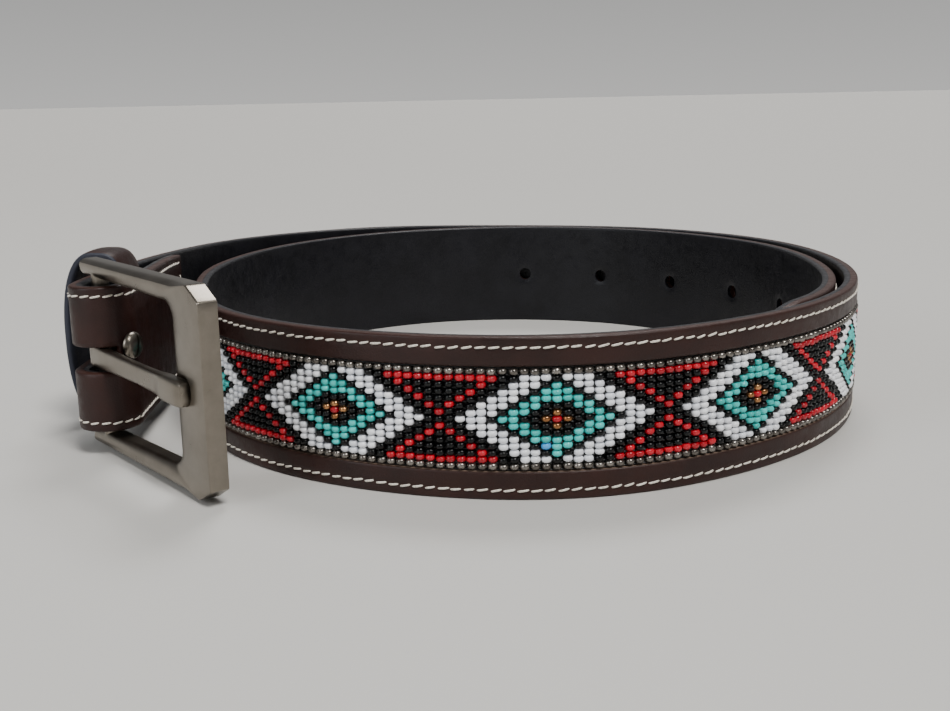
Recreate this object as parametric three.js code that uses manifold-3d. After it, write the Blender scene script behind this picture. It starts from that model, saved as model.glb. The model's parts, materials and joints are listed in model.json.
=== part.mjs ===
// A leather belt with a woven bead panel, coiled on its edge with the buckle at the outer end.
// Millimetres, +Z up. The strap's brown face looks out of the coil, its black lining into it.
import * as THREE from "three";
import { mergeVertices } from "three/addons/utils/BufferGeometryUtils.js";
import Module from "manifold-3d";

const wasm = await Module();
wasm.setup();

// The strap: a brown top ply glued and stitched to a black lining
const STRAP_WIDTH = 38;
const TOP_PLY = 1.9;
const LINING_PLY = 1.6;
const PLY_GAP = 0.25;
const EDGE_BEVEL = 0.6;
const TIP_LENGTH = 26;
const TIP_BLUNT = 0.17;

// The coil
const COIL_RADIUS = 118;
const TURN_GAP = 0.8;
const START_BEARING = 213;
const LIFT_RUN = 200;

// The bead panel and its window in the top ply
const BEAD_DIAMETER = 2.35;
const BEAD_ROW_PITCH = 1.59;
const BEAD_ROWS = 15;
const WINDOW_MARGIN = 0.35;
const PANEL_START = 110;
const PANEL_TO_FIRST_HOLE = 42;

// The adjusting holes
const HOLE_COUNT = 5;
const HOLE_PITCH = 32.5;
const HOLE_RADIUS = 2.4;
const TIP_TO_LAST_HOLE = 131;

// The chape: the strap's end folded round the pivot bar
const LOOP_RADIUS = 8.2;
const FLAP_LENGTH = 72;
const FLAP_SPACE = 1.4;
const SLOT_BACK = 13;
const SLOT_END_BEARING = 54;
const SCREW_BEARING = 25;
const SCREW_RISE = 3;
const SCREW_HEAD_RADIUS = 3.6;
const SCREW_HEAD_HEIGHT = 2.2;
const SCREW_SHANK_RADIUS = 1.5;

// The buckle, measured from its pivot bar
const FRAME_REACH = 63;
const FRAME_TAIL = 7;
const FRAME_HEIGHT = 50;
const FRAME_THICKNESS = 5.2;
const FREE_BAR_WIDTH = 17.5;
const ARM_AT_PIVOT = 4.3;
const ARM_AT_FREE_BAR = 5.4;
const OUTER_CORNER = 5;
const INNER_CORNER = 4.5;
const ARM_RIDGE_SHARE = 0.35;
const FREE_BAR_RIDGE_SHARE = 0.05;
const INNER_EDGE_SHARE = 0.2;
const OUTER_EDGE_SHARE = 0.45;
const BAR_RADIUS = 2.2;
const FRAME_TO_FLOOR = 0.9;
const SWING_FROM_STRAP = 35;

// The tongue
const TONGUE_HEIGHT = 6.2;
const TONGUE_WALL = 1.55;
const TONGUE_TIP_HEIGHT = 6.2;
const TONGUE_PROUD = 5;
const TONGUE_FACE_SHARE = 0.55;
const TONGUE_SIDE_SHARE = 0.6;
const NOTCH_DEPTH = 10.5;
const NOTCH_PLAY = 1.3;

// The keeper loop
const KEEPER_WALL = 2.2;
const KEEPER_ALONG = 15;
const KEEPER_BACK = 24;
const KEEPER_SLACK = 6.9;
const KEEPER_BULGE = 12;
const KEEPER_ROUNDING = 0.54;
const KEEPER_FREE_ROUNDING = 0.85;

// Clearances
const FIT_GAP = 0.3;
const PIVOT_GAP = 0.35;

// Steps of the meshes
const STRAP_STEP = 8;
const FLAP_STEPS = 10;
const FOLD_STEPS = 12;
const ROUND_SIDES = 20;
const KEEPER_SIDES = 32;
const TIP_STEPS = 8;
const CORNER_STEPS = 4;
const TANGENT_REACH = 0.5;
const CUT_OVER = 1;

// What follows from the sizes above
const STRAP_THICKNESS = TOP_PLY + PLY_GAP + LINING_PLY;
const LINING_TOP = TOP_PLY + PLY_GAP;
const STRAP_LIFT = FRAME_TO_FLOOR + (FRAME_HEIGHT - STRAP_WIDTH) / 2;
const MIDDLE = STRAP_WIDTH / 2;
const BAND_HEIGHT = BEAD_ROWS * BEAD_ROW_PITCH;
const BEAD_PROUD = BEAD_DIAMETER - TOP_PLY - PLY_GAP / 2;
const TONGUE_EYE = BAR_RADIUS + PIVOT_GAP;
const TONGUE_ROUND = TONGUE_EYE + TONGUE_WALL;
const TONGUE_BACK = TONGUE_EYE / 2;
const SLOT_HEIGHT = TONGUE_HEIGHT + 2 * FIT_GAP;
const NOTCH_RADIUS = TONGUE_TIP_HEIGHT / 2 + 2 * FIT_GAP;
const NOTCH_END = FRAME_REACH - FREE_BAR_WIDTH + NOTCH_DEPTH;
const TONGUE_REACH = NOTCH_END - NOTCH_PLAY;

// Plan of the coil: degrees turned from the buckle, radius of the brown face as a share
// of the coil's radius, and how many straps lie outside this one
const ROUTE = [
  { turned: 0, radius: 1.111, inside: 0 },
  { turned: 13, radius: 0.98, inside: 0 },
  { turned: 28, radius: 0.911, inside: 0 },
  { turned: 43, radius: 0.906, inside: 0 },
  { turned: 58, radius: 0.95, inside: 0 },
  { turned: 73, radius: 1.024, inside: 0 },
  { turned: 88, radius: 1.075, inside: 0 },
  { turned: 103, radius: 1.064, inside: 0 },
  { turned: 118, radius: 1.0, inside: 0 },
  { turned: 133, radius: 0.963, inside: 0 },
  { turned: 153, radius: 0.967, inside: 0 },
  { turned: 173, radius: 0.963, inside: 0 },
  { turned: 193, radius: 0.951, inside: 0 },
  { turned: 213, radius: 0.938, inside: 0 },
  { turned: 233, radius: 0.953, inside: 0 },
  { turned: 253, radius: 0.983, inside: 0 },
  { turned: 273, radius: 1.007, inside: 0 },
  { turned: 293, radius: 1.022, inside: 0 },
  { turned: 313, radius: 0.983, inside: 0 },
  { turned: 333, radius: 0.925, inside: 0 },
  { turned: 353, radius: 0.89, inside: 1 },
  { turned: 373, radius: 0.82, inside: 1 },
  { turned: 393, radius: 0.803, inside: 1 },
  { turned: 413, radius: 0.819, inside: 1 },
  { turned: 433, radius: 0.863, inside: 1 },
  { turned: 453, radius: 0.913, inside: 1 },
  { turned: 473, radius: 0.953, inside: 1 },
  { turned: 493, radius: 0.963, inside: 1 },
  { turned: 513, radius: 0.954, inside: 1 },
  { turned: 533, radius: 0.934, inside: 1 },
  { turned: 553, radius: 0.925, inside: 1 },
  { turned: 573, radius: 0.916, inside: 1 },
  { turned: 593, radius: 0.938, inside: 1 },
  { turned: 613, radius: 0.983, inside: 1 },
  { turned: 623, radius: 0.9972, inside: 1 },
  { turned: 631, radius: 1.006, inside: 1 },
];

// Tongue sections: place along its reach, height as a share of its tip's height, and
// depth as a share of the depth between its back and its proud face
const TONGUE_SECTIONS = [
  { along: 0.0, height: 0.91, depth: 0.8 },
  { along: 0.12, height: 0.86, depth: 0.78 },
  { along: 0.45, height: 0.78, depth: 0.72 },
  { along: 0.72, height: 0.87, depth: 0.8 },
  { along: 0.8, height: 1.0, depth: 1.0 },
  { along: 0.94, height: 1.0, depth: 1.0 },
  { along: 1.0, height: 0.7, depth: 0.7 },
];

// The screw's dome: shares of its head's radius and height
const SCREW_DOME = [
  { radius: 1.0, height: 0.0 },
  { radius: 0.94, height: 0.45 },
  { radius: 0.7, height: 0.85 },
  { radius: 0.0, height: 1.0 },
];

const radians = THREE.MathUtils.degToRad;

// A cubic through all knots with a steady bend, straight at both ends.
function smoothThrough(x, y) {
  const last = x.length - 1;
  const gap = (i) => x[i + 1] - x[i];
  const slope = (i) => (y[i + 1] - y[i]) / gap(i);
  const bend = new Array(last + 1).fill(0);
  const share = new Array(last + 1).fill(0);
  for (let i = 1; i < last; i++) {
    const pivot = 2 * (gap(i - 1) + gap(i)) - gap(i - 1) * share[i - 1];
    share[i] = gap(i) / pivot;
    bend[i] = (6 * (slope(i) - slope(i - 1)) - gap(i - 1) * bend[i - 1]) / pivot;
  }
  for (let i = last - 1; i > 0; i--) {
    bend[i] -= share[i] * bend[i + 1];
  }
  return (at) => {
    const found = x.findIndex((knot) => knot > at);
    const i = found < 0 ? last - 1 : Math.max(found - 1, 0);
    const b = (at - x[i]) / gap(i);
    const a = 1 - b;
    const bulge = (a ** 3 - a) * bend[i] + (b ** 3 - b) * bend[i + 1];
    return a * y[i] + b * y[i + 1] + (gap(i) ** 2 / 6) * bulge;
  };
}

const coilRadius = smoothThrough(
  ROUTE.map((row) => row.turned),
  ROUTE.map((row) => row.radius * COIL_RADIUS - row.inside * (STRAP_THICKNESS + TURN_GAP)),
);
const FULL_TURN = ROUTE[ROUTE.length - 1].turned;

function coilPoint(turned) {
  const bearing = radians(START_BEARING - turned);
  const radius = coilRadius(turned);
  return new THREE.Vector2(radius * Math.cos(bearing), radius * Math.sin(bearing));
}

// Lengths along the coil at every degree, for finding the place at a given length.
const coilLengths = [0];
for (let degree = 1; degree <= FULL_TURN; degree++) {
  const step = coilPoint(degree).distanceTo(coilPoint(degree - 1));
  coilLengths.push(coilLengths[degree - 1] + step);
}
const STRAP_LENGTH = coilLengths[FULL_TURN];

function turnedAt(length) {
  const found = coilLengths.findIndex((reached) => reached > length);
  const after = found < 0 ? FULL_TURN : Math.max(found, 1);
  const step = coilLengths[after] - coilLengths[after - 1];
  return after - 1 + (length - coilLengths[after - 1]) / step;
}

// A place on the brown face: point, outward normal and the height of the lower edge.
function place(point, normal, length) {
  const eased = THREE.MathUtils.smoothstep(length, 0, LIFT_RUN);
  return { point, normal, floor: STRAP_LIFT * (1 - eased), length };
}

function strapPlace(length) {
  const turned = turnedAt(length);
  const tangent = coilPoint(turned + TANGENT_REACH).sub(coilPoint(turned - TANGENT_REACH)).normalize();
  const normal = new THREE.Vector2(-tangent.y, tangent.x);
  return place(coilPoint(turned), normal, length);
}

// The fold round the pivot bar: the bearing runs from 180 (outer side) through the nose
// to 0 (inner side), measured from the direction that looks into the coil.
const foldStart = strapPlace(0);
const barPoint = foldStart.point.clone().addScaledVector(foldStart.normal, -LOOP_RADIUS);
const straightOn = new THREE.Vector2(foldStart.normal.y, -foldStart.normal.x).negate();

function foldPlace(bearing) {
  const turn = radians(180 - bearing);
  const normal = foldStart.normal.clone().rotateAround(new THREE.Vector2(), turn);
  return place(barPoint.clone().addScaledVector(normal, LOOP_RADIUS), normal, 0);
}

// The flap lies inside the strap and closes on it towards its end.
function flapDepth(length) {
  const closed = 2 * STRAP_THICKNESS + FLAP_SPACE;
  const eased = THREE.MathUtils.smoothstep(length, 0, FLAP_LENGTH);
  return closed + (2 * LOOP_RADIUS - closed) * (1 - eased);
}

function flapPlace(length) {
  const at = (where) => {
    const carrier = strapPlace(where);
    return carrier.point.addScaledVector(carrier.normal, -flapDepth(where));
  };
  const tangent = at(length - TANGENT_REACH).sub(at(length + TANGENT_REACH)).normalize();
  return place(at(length), new THREE.Vector2(-tangent.y, tangent.x), length);
}

// Half the strap's width at a length, rounded off towards the tip
function halfWidth(length) {
  const into = Math.max(0, (length - STRAP_LENGTH + TIP_LENGTH) / TIP_LENGTH);
  const share = Math.min(into, 1) * Math.sqrt(1 - TIP_BLUNT ** 2);
  return MIDDLE * Math.sqrt(1 - share ** 2);
}

// Places from one length to another along the strap, no further apart than the step
function strapPlaces(from, to, step = STRAP_STEP) {
  const count = Math.ceil((to - from) / step);
  return Array.from({ length: count + 1 }, (_, i) => strapPlace(from + ((to - from) * i) / count));
}

function foldPlaces(from, to) {
  const count = Math.ceil((Math.abs(to - from) / 180) * FOLD_STEPS);
  return Array.from({ length: count + 1 }, (_, i) => foldPlace(from + ((to - from) * i) / count));
}

function beltPlaces() {
  const flap = Array.from({ length: FLAP_STEPS }, (_, i) =>
    flapPlace(FLAP_LENGTH * (1 - i / FLAP_STEPS)),
  );
  const fold = foldPlaces(0, 180).slice(0, -1);
  const body = strapPlaces(0, STRAP_LENGTH - TIP_LENGTH).slice(0, -1);
  const tip = strapPlaces(STRAP_LENGTH - TIP_LENGTH, STRAP_LENGTH, TIP_LENGTH / TIP_STEPS);
  return [...flap, ...fold, ...body, ...tip];
}

// Joins rings of points into one closed body. Each ring is convex and has as many points.
function loft(rings) {
  const count = rings[0].length;
  const positions = rings.flat().flatMap((p) => [p.x, p.y, p.z]);
  const index = [];
  for (let ring = 0; ring + 1 < rings.length; ring++) {
    for (let i = 0; i < count; i++) {
      const a = ring * count + i;
      const b = ring * count + ((i + 1) % count);
      index.push(a, b, b + count, a, b + count, a + count);
    }
  }
  const end = (rings.length - 1) * count;
  for (let i = 1; i + 1 < count; i++) {
    index.push(0, i + 1, i, end, end + i, end + i + 1);
  }
  const geometry = new THREE.BufferGeometry();
  geometry.setAttribute("position", new THREE.Float32BufferAttribute(positions, 3));
  geometry.setIndex(index);
  return geometry;
}

// A ribbon along places on the brown face: its section lists depth below that face and height.
function ribbon(places, section) {
  return loft(
    places.map((at) =>
      section(at).map(([depth, height]) => {
        const point = at.point.clone().addScaledVector(at.normal, -depth);
        return new THREE.Vector3(point.x, point.y, at.floor + height);
      }),
    ),
  );
}

function box(depthFrom, depthTo, low, high) {
  return [
    [depthFrom, low],
    [depthFrom, high],
    [depthTo, high],
    [depthTo, low],
  ];
}

// A ply from one depth to another with the edges of one face bevelled.
function plySection(face, back) {
  const bevel = face < back ? EDGE_BEVEL : -EDGE_BEVEL;
  return (at) => {
    const half = halfWidth(at.length);
    const low = MIDDLE - half;
    const high = MIDDLE + half;
    const ring = [
      [face, low + EDGE_BEVEL],
      [face, high - EDGE_BEVEL],
      [face + bevel, high],
      [back, high],
      [back, low],
      [face + bevel, low],
    ];
    return face < back ? ring : ring.reverse();
  };
}

function plainGeometry(geometry) {
  const plain = new THREE.BufferGeometry();
  plain.setAttribute("position", geometry.getAttribute("position").clone());
  if (geometry.index) {
    plain.setIndex(geometry.index.clone());
  }
  return mergeVertices(plain, 1e-4);
}

function solid(geometry) {
  const merged = plainGeometry(geometry);
  const vertProperties = new Float32Array(merged.getAttribute("position").array);
  const triVerts = new Uint32Array(merged.index.array);
  return new wasm.Manifold(new wasm.Mesh({ numProp: 3, vertProperties, triVerts }));
}

function geometryOf(made) {
  const mesh = made.getMesh();
  const geometry = new THREE.BufferGeometry();
  geometry.setAttribute("position", new THREE.BufferAttribute(mesh.vertProperties, 3));
  geometry.setIndex(new THREE.BufferAttribute(mesh.triVerts, 1));
  return geometry;
}

// A round peg along a horizontal direction, centred on a point.
function peg(radius, length, centre, direction) {
  const geometry = new THREE.CylinderGeometry(radius, radius, length, ROUND_SIDES);
  const up = new THREE.Vector3(0, 1, 0);
  geometry.applyQuaternion(new THREE.Quaternion().setFromUnitVectors(up, direction));
  return geometry.translate(centre.x, centre.y, centre.z);
}

function pegThrough(at, height, radius) {
  const middle = at.point.clone().addScaledVector(at.normal, -STRAP_THICKNESS / 2);
  const centre = new THREE.Vector3(middle.x, middle.y, at.floor + height);
  const direction = new THREE.Vector3(at.normal.x, at.normal.y, 0);
  return solid(peg(radius, STRAP_THICKNESS + 2 * CUT_OVER, centre, direction));
}

const LAST_HOLE = STRAP_LENGTH - TIP_TO_LAST_HOLE;
const FIRST_HOLE = LAST_HOLE - (HOLE_COUNT - 1) * HOLE_PITCH;
const PANEL_END = FIRST_HOLE - PANEL_TO_FIRST_HOLE;

// Holes through both plies: the tongue's slot, the adjusting holes and the screw's hole
function strapCutters() {
  const slotPlaces = [
    ...foldPlaces(SLOT_END_BEARING, 180).slice(0, -1),
    ...strapPlaces(0, SLOT_BACK, SLOT_BACK / 2),
  ];
  const slotSection = () =>
    box(-CUT_OVER, STRAP_THICKNESS + CUT_OVER, MIDDLE - SLOT_HEIGHT / 2, MIDDLE + SLOT_HEIGHT / 2);
  const holes = Array.from({ length: HOLE_COUNT }, (_, i) =>
    pegThrough(strapPlace(LAST_HOLE - i * HOLE_PITCH), MIDDLE, HOLE_RADIUS),
  );
  const screwHole = pegThrough(
    foldPlace(SCREW_BEARING),
    MIDDLE + SCREW_RISE,
    SCREW_SHANK_RADIUS + FIT_GAP,
  );
  return [solid(ribbon(slotPlaces, slotSection)), ...holes, screwHole];
}

function cut(body, cutters) {
  return cutters.reduce((left, cutter) => left.subtract(cutter), body);
}

function strapTop(places, cutters) {
  const half = BAND_HEIGHT / 2 + WINDOW_MARGIN;
  const window = ribbon(
    strapPlaces(PANEL_START - WINDOW_MARGIN, PANEL_END + WINDOW_MARGIN),
    () => box(-CUT_OVER, LINING_TOP, MIDDLE - half, MIDDLE + half),
  );
  const ply = solid(ribbon(places, plySection(0, TOP_PLY)));
  return geometryOf(cut(ply, [solid(window), ...cutters]));
}

function strapLining(places, cutters) {
  const ply = solid(ribbon(places, plySection(STRAP_THICKNESS, LINING_TOP)));
  return geometryOf(cut(ply, cutters));
}

function beadBand() {
  const half = BAND_HEIGHT / 2;
  return ribbon(strapPlaces(PANEL_START, PANEL_END), () =>
    box(-BEAD_PROUD, TOP_PLY, MIDDLE - half, MIDDLE + half),
  );
}

// The keeper is an oval ring round the strap, its back wall between strap and flap.
function keeperLoop() {
  const inner = flapDepth(KEEPER_BACK + KEEPER_ALONG) - STRAP_THICKNESS - 2 * FIT_GAP;
  const halfWide = (KEEPER_BULGE + inner) / 2;
  const halfTall = MIDDLE + KEEPER_WALL + KEEPER_SLACK / 2;
  const oval = (wall) =>
    Array.from({ length: KEEPER_SIDES }, (_, i) => {
      const angle = (i / KEEPER_SIDES) * 2 * Math.PI;
      const rounding = Math.cos(angle) > 0 ? KEEPER_FREE_ROUNDING : KEEPER_ROUNDING;
      const squared = (value) => Math.sign(value) * Math.abs(value) ** rounding;
      const across = (halfWide - wall) * squared(Math.cos(angle));
      return new THREE.Vector2(across, (halfTall - wall) * squared(Math.sin(angle)));
    });
  const outline = new THREE.Shape(oval(0));
  outline.holes.push(new THREE.Path(oval(KEEPER_WALL).reverse()));
  const geometry = new THREE.ExtrudeGeometry(outline, {
    depth: KEEPER_ALONG,
    bevelEnabled: false,
  });
  geometry.translate((KEEPER_BULGE - inner) / 2, 0, -KEEPER_ALONG / 2);
  const at = strapPlace(KEEPER_BACK + KEEPER_ALONG / 2);
  const outward = new THREE.Vector3(at.normal.x, at.normal.y, 0);
  const up = new THREE.Vector3(0, 0, 1);
  const along = outward.clone().cross(up);
  geometry.applyMatrix4(new THREE.Matrix4().makeBasis(outward, up, along));
  return geometry.translate(at.point.x, at.point.y, at.floor + MIDDLE);
}

// A domed screw head on the fold with its shank through both plies
function chapeScrew() {
  const at = foldPlace(SCREW_BEARING);
  const shank = STRAP_THICKNESS - FIT_GAP;
  const profile = [
    [0, -shank],
    [SCREW_SHANK_RADIUS, -shank],
    [SCREW_SHANK_RADIUS, FIT_GAP],
    ...SCREW_DOME.map((row) => [
      SCREW_HEAD_RADIUS * row.radius,
      FIT_GAP + SCREW_HEAD_HEIGHT * row.height,
    ]),
  ].map(([radius, along]) => new THREE.Vector2(radius, along));
  const geometry = new THREE.LatheGeometry(profile, ROUND_SIDES);
  const up = new THREE.Vector3(0, 1, 0);
  const outward = new THREE.Vector3(at.normal.x, at.normal.y, 0);
  geometry.applyQuaternion(new THREE.Quaternion().setFromUnitVectors(up, outward));
  return geometry.translate(at.point.x, at.point.y, at.floor + MIDDLE + SCREW_RISE);
}

// Points round a U from the lower arm's end, round the free bar, to the upper arm's end.
// Their number doesn't depend on the corner, so that outlines can be joined.
function frameOutline(reach, armAtPivot, armAtFree, corner) {
  const low = (along) => THREE.MathUtils.mapLinear(along, -FRAME_TAIL, reach, armAtPivot, armAtFree);
  const half = FRAME_HEIGHT / 2;
  const points = [
    [-FRAME_TAIL, low(-FRAME_TAIL) - half],
    [(reach - FRAME_TAIL) / 2, low((reach - FRAME_TAIL) / 2) - half],
  ];
  for (let i = 0; i <= CORNER_STEPS; i++) {
    const angle = (i / CORNER_STEPS) * (Math.PI / 2);
    const along = reach - corner + corner * Math.sin(angle);
    points.push([along, low(along) - half + corner * (1 - Math.cos(angle))]);
  }
  const mirrored = points.map(([along, height]) => [along, -height]).reverse();
  return [...points, [reach, 0], ...mirrored];
}

// The frame in its own axes: X along it from the pivot bar, Y out of its back, Z up.
// Its show face (-Y) rises to a ridge near the outer edge and falls to the opening.
function buckleFrame() {
  const outer = frameOutline(FRAME_REACH, 0, 0, OUTER_CORNER);
  const inner = frameOutline(
    FRAME_REACH - FREE_BAR_WIDTH,
    ARM_AT_PIVOT,
    ARM_AT_FREE_BAR,
    INNER_CORNER,
  );
  const half = FRAME_THICKNESS / 2;
  const rings = outer.map(([outerAlong, outerHeight], i) => {
    const [innerAlong, innerHeight] = inner[i];
    const onFreeBar = THREE.MathUtils.smoothstep(outerAlong, FRAME_REACH - FREE_BAR_WIDTH, FRAME_REACH);
    const ridge = THREE.MathUtils.lerp(ARM_RIDGE_SHARE, FREE_BAR_RIDGE_SHARE, onFreeBar);
    const point = (share, depth) =>
      new THREE.Vector3(
        THREE.MathUtils.lerp(outerAlong, innerAlong, share),
        depth,
        THREE.MathUtils.lerp(outerHeight, innerHeight, share),
      );
    return [
      point(1, half),
      point(1, -half * INNER_EDGE_SHARE),
      point(ridge, -half),
      point(0, -half * OUTER_EDGE_SHARE),
      point(0, half),
    ];
  });
  const bar = new THREE.CylinderGeometry(
    BAR_RADIUS,
    BAR_RADIUS,
    FRAME_HEIGHT - ARM_AT_PIVOT,
    ROUND_SIDES,
  );
  bar.rotateX(Math.PI / 2);
  const notchCentre = NOTCH_END - NOTCH_RADIUS;
  const notch = new THREE.CylinderGeometry(NOTCH_RADIUS, NOTCH_RADIUS, FRAME_THICKNESS, ROUND_SIDES);
  notch.translate(notchCentre, -TONGUE_BACK + FIT_GAP - FRAME_THICKNESS / 2, 0);
  const mouth = new THREE.BoxGeometry(NOTCH_DEPTH, FRAME_THICKNESS, 2 * NOTCH_RADIUS);
  mouth.translate(
    notchCentre - NOTCH_DEPTH / 2,
    -TONGUE_BACK + FIT_GAP - FRAME_THICKNESS / 2,
    0,
  );
  return geometryOf(cut(solid(loft(rings)).add(solid(bar)), [solid(notch), solid(mouth)]));
}

// The tongue in the frame's axes: an eye round the pivot bar and a shaft on the show side
function buckleTongue() {
  const eyeHeight = TONGUE_HEIGHT / 2;
  const profile = [
    [TONGUE_EYE, -eyeHeight],
    [TONGUE_ROUND, -eyeHeight],
    [TONGUE_ROUND, eyeHeight],
    [TONGUE_EYE, eyeHeight],
    [TONGUE_EYE, -eyeHeight],
  ].map(([radius, height]) => new THREE.Vector2(radius, height));
  const eye = new THREE.LatheGeometry(profile, ROUND_SIDES);
  eye.rotateX(Math.PI / 2);
  const start = TONGUE_EYE + FIT_GAP;
  const depth = TONGUE_PROUD - TONGUE_BACK;
  const rings = TONGUE_SECTIONS.map((row) => {
    const along = THREE.MathUtils.lerp(start, TONGUE_REACH, row.along);
    const high = (row.height * TONGUE_TIP_HEIGHT) / 2;
    const face = -TONGUE_BACK - row.depth * depth;
    const ridge = high * TONGUE_FACE_SHARE;
    return [
      new THREE.Vector3(along, -TONGUE_BACK, -high),
      new THREE.Vector3(along, -TONGUE_BACK, high),
      new THREE.Vector3(along, (face - TONGUE_BACK) * TONGUE_SIDE_SHARE, high),
      new THREE.Vector3(along, face, ridge),
      new THREE.Vector3(along, face, -ridge),
      new THREE.Vector3(along, (face - TONGUE_BACK) * TONGUE_SIDE_SHARE, -high),
    ];
  });
  return geometryOf(solid(eye).add(solid(loft(rings))));
}

function finish(color, roughness, metalness) {
  return new THREE.MeshStandardMaterial({ color, roughness, metalness });
}

function named(name, geometry, material) {
  const mesh = new THREE.Mesh(geometry, material);
  mesh.name = name;
  return mesh;
}

const places = beltPlaces();
const cutters = strapCutters();
const belt = new THREE.Group();
belt.add(
  named("strap_top", strapTop(places, cutters), finish("#3a2320", 0.55, 0)),
  named("strap_lining", strapLining(places, cutters), finish("#17171c", 0.4, 0)),
  named("bead_band", beadBand(), finish("#c9c9c4", 0.25, 0)),
  named("keeper_loop", keeperLoop(), finish("#4a2c26", 0.5, 0)),
  named("chape_screw", chapeScrew(), finish("#b9b6b0", 0.25, 1)),
);

// The buckle turns on the pivot bar, which stands in the middle of the fold.
const buckle = new THREE.Group();
const alongStrap = Math.atan2(straightOn.y, straightOn.x);
buckle.position.set(barPoint.x, barPoint.y, FRAME_TO_FLOOR + FRAME_HEIGHT / 2);
buckle.rotation.z = alongStrap + radians(SWING_FROM_STRAP);
buckle.add(
  named("buckle_frame", buckleFrame(), finish("#b4b0a8", 0.32, 1)),
  named("buckle_tongue", buckleTongue(), finish("#c2beb6", 0.28, 1)),
);
belt.add(buckle);

// The part stands with the middle of its outline over the origin.
const outline = new THREE.Box3().setFromObject(belt);
const middle = outline.getCenter(new THREE.Vector3());
belt.position.set(-middle.x, -middle.y, -outline.min.z);

export default belt;
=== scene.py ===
"""A leather belt with a woven seed-bead panel, coiled on its edge on a pale floor.

The scene is in metres with +Z up. Sizes of the pieces are in millimetres and become metres
when a mesh is made. Heights are measured from the strap's lower edge, and depths from its
brown face towards its black lining.
"""

import json
import logging
import math
from dataclasses import dataclass, field
from enum import Enum
from typing import Any, Callable, Sequence

import bpy
import numpy as np
from bpy.types import Material, NodeTree, Object
from mathutils import Matrix, Vector


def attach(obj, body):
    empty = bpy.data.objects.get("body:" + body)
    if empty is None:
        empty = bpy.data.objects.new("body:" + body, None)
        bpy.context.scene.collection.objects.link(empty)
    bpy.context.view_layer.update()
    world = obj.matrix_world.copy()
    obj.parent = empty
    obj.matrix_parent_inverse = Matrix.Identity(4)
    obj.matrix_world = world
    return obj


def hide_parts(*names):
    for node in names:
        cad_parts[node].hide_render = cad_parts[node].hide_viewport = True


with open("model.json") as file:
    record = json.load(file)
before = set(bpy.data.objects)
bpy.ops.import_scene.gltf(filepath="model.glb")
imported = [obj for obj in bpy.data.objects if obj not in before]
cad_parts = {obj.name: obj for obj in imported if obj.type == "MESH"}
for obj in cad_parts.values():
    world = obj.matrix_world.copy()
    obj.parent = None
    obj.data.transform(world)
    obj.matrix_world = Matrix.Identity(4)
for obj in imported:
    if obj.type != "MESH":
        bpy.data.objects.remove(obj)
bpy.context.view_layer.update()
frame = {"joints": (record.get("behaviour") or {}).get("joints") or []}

MM = 0.001
LOG = logging.getLogger("belt")
Array = np.ndarray
NodeRow = tuple[str, str, dict[Any, Any], dict[Any, str]]
OWN_PLACE = {"Vector": "place.Object"}


class Body(Enum):
    """The rigid bodies that pieces ride on."""

    BELT = "belt"
    BUCKLE = "buckle"
    TONGUE = "tongue"


class Ply(Enum):
    """The two plies of the strap."""

    TOP = "strap_top"
    LINING = "strap_lining"


def linear(code: str) -> tuple[float, float, float, float]:
    """Turns an sRGB hex colour to linear.

    Args:
        code: The colour as "#rrggbb".

    Returns:
        Red, green, blue and an alpha of one.
    """
    parts = [int(code[i : i + 2], 16) / 255 for i in (1, 3, 5)]
    low = [c / 12.92 if c <= 0.04045 else ((c + 0.055) / 1.055) ** 2.4 for c in parts]
    return low[0], low[1], low[2], 1.0


def per_mm(size: float) -> float:
    """The scale of a pattern whose features are this many millimetres wide."""
    return 1 / (size * MM)


def add_node(
    tree: NodeTree, name: str, kind: str, settings: dict[Any, Any], links: dict[Any, str]
) -> None:
    """Adds a node with its settings and links.

    Args:
        tree: The node tree of a material or of the world.
        name: The node's own name in the tree.
        kind: Its type, without the start that all types share.
        settings: Properties and input values by name or number, and a ramp's "stops".
        links: The node and output, such as "pores.Distance", by the input that it feeds.
    """
    made = tree.nodes.new(f"ShaderNode{kind}")
    made.name = name
    stops = settings.get("stops", ())
    plain = {key: value for key, value in settings.items() if key != "stops"}
    own = [key for key in plain if isinstance(key, str) and hasattr(made, key)]
    for key in own:
        setattr(made, key, plain.pop(key))
    for key, value in plain.items():
        made.inputs[key].default_value = value
    while stops and len(made.color_ramp.elements) < len(stops):
        made.color_ramp.elements.new(0.5)
    for i, (place, code) in enumerate(stops):
        made.color_ramp.elements[i].position = place
        made.color_ramp.elements[i].color = linear(code)
    for key, source in links.items():
        node, output = source.split(".")
        socket = tree.nodes[node].outputs[int(output) if output.isdigit() else output]
        tree.links.new(socket, made.inputs[key])


def make_material(
    name: str, nodes: Sequence[NodeRow], look: dict[str, Any], colour: str = "colour.Color"
) -> Material:
    """Makes a material of one principled shader and the nodes that feed it.

    Args:
        name: The material's name.
        nodes: The nodes, each after those that feed it. One named rough gives the shader its
            roughness, and one named relief its normal.
        look: The shader's constant inputs.
        colour: The node and output that give the base colour, where the look doesn't.

    Returns:
        The material.
    """
    material = bpy.data.materials.new(name)
    material.use_nodes = True
    tree = material.node_tree
    tree.nodes.clear()
    feeds = {"Base Color": colour, "Roughness": "rough.Result", "Normal": "relief.Normal"}
    made = [row[0] for row in nodes]
    feeds = {key: source for key, source in feeds.items() if source.split(".")[0] in made}
    add_node(tree, "place", "TexCoord", {}, {})
    for row in nodes:
        add_node(tree, *row)
    add_node(tree, "shader", "BsdfPrincipled", look, feeds)
    add_node(tree, "out", "OutputMaterial", {}, {"Surface": "shader.BSDF"})
    return material


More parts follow.
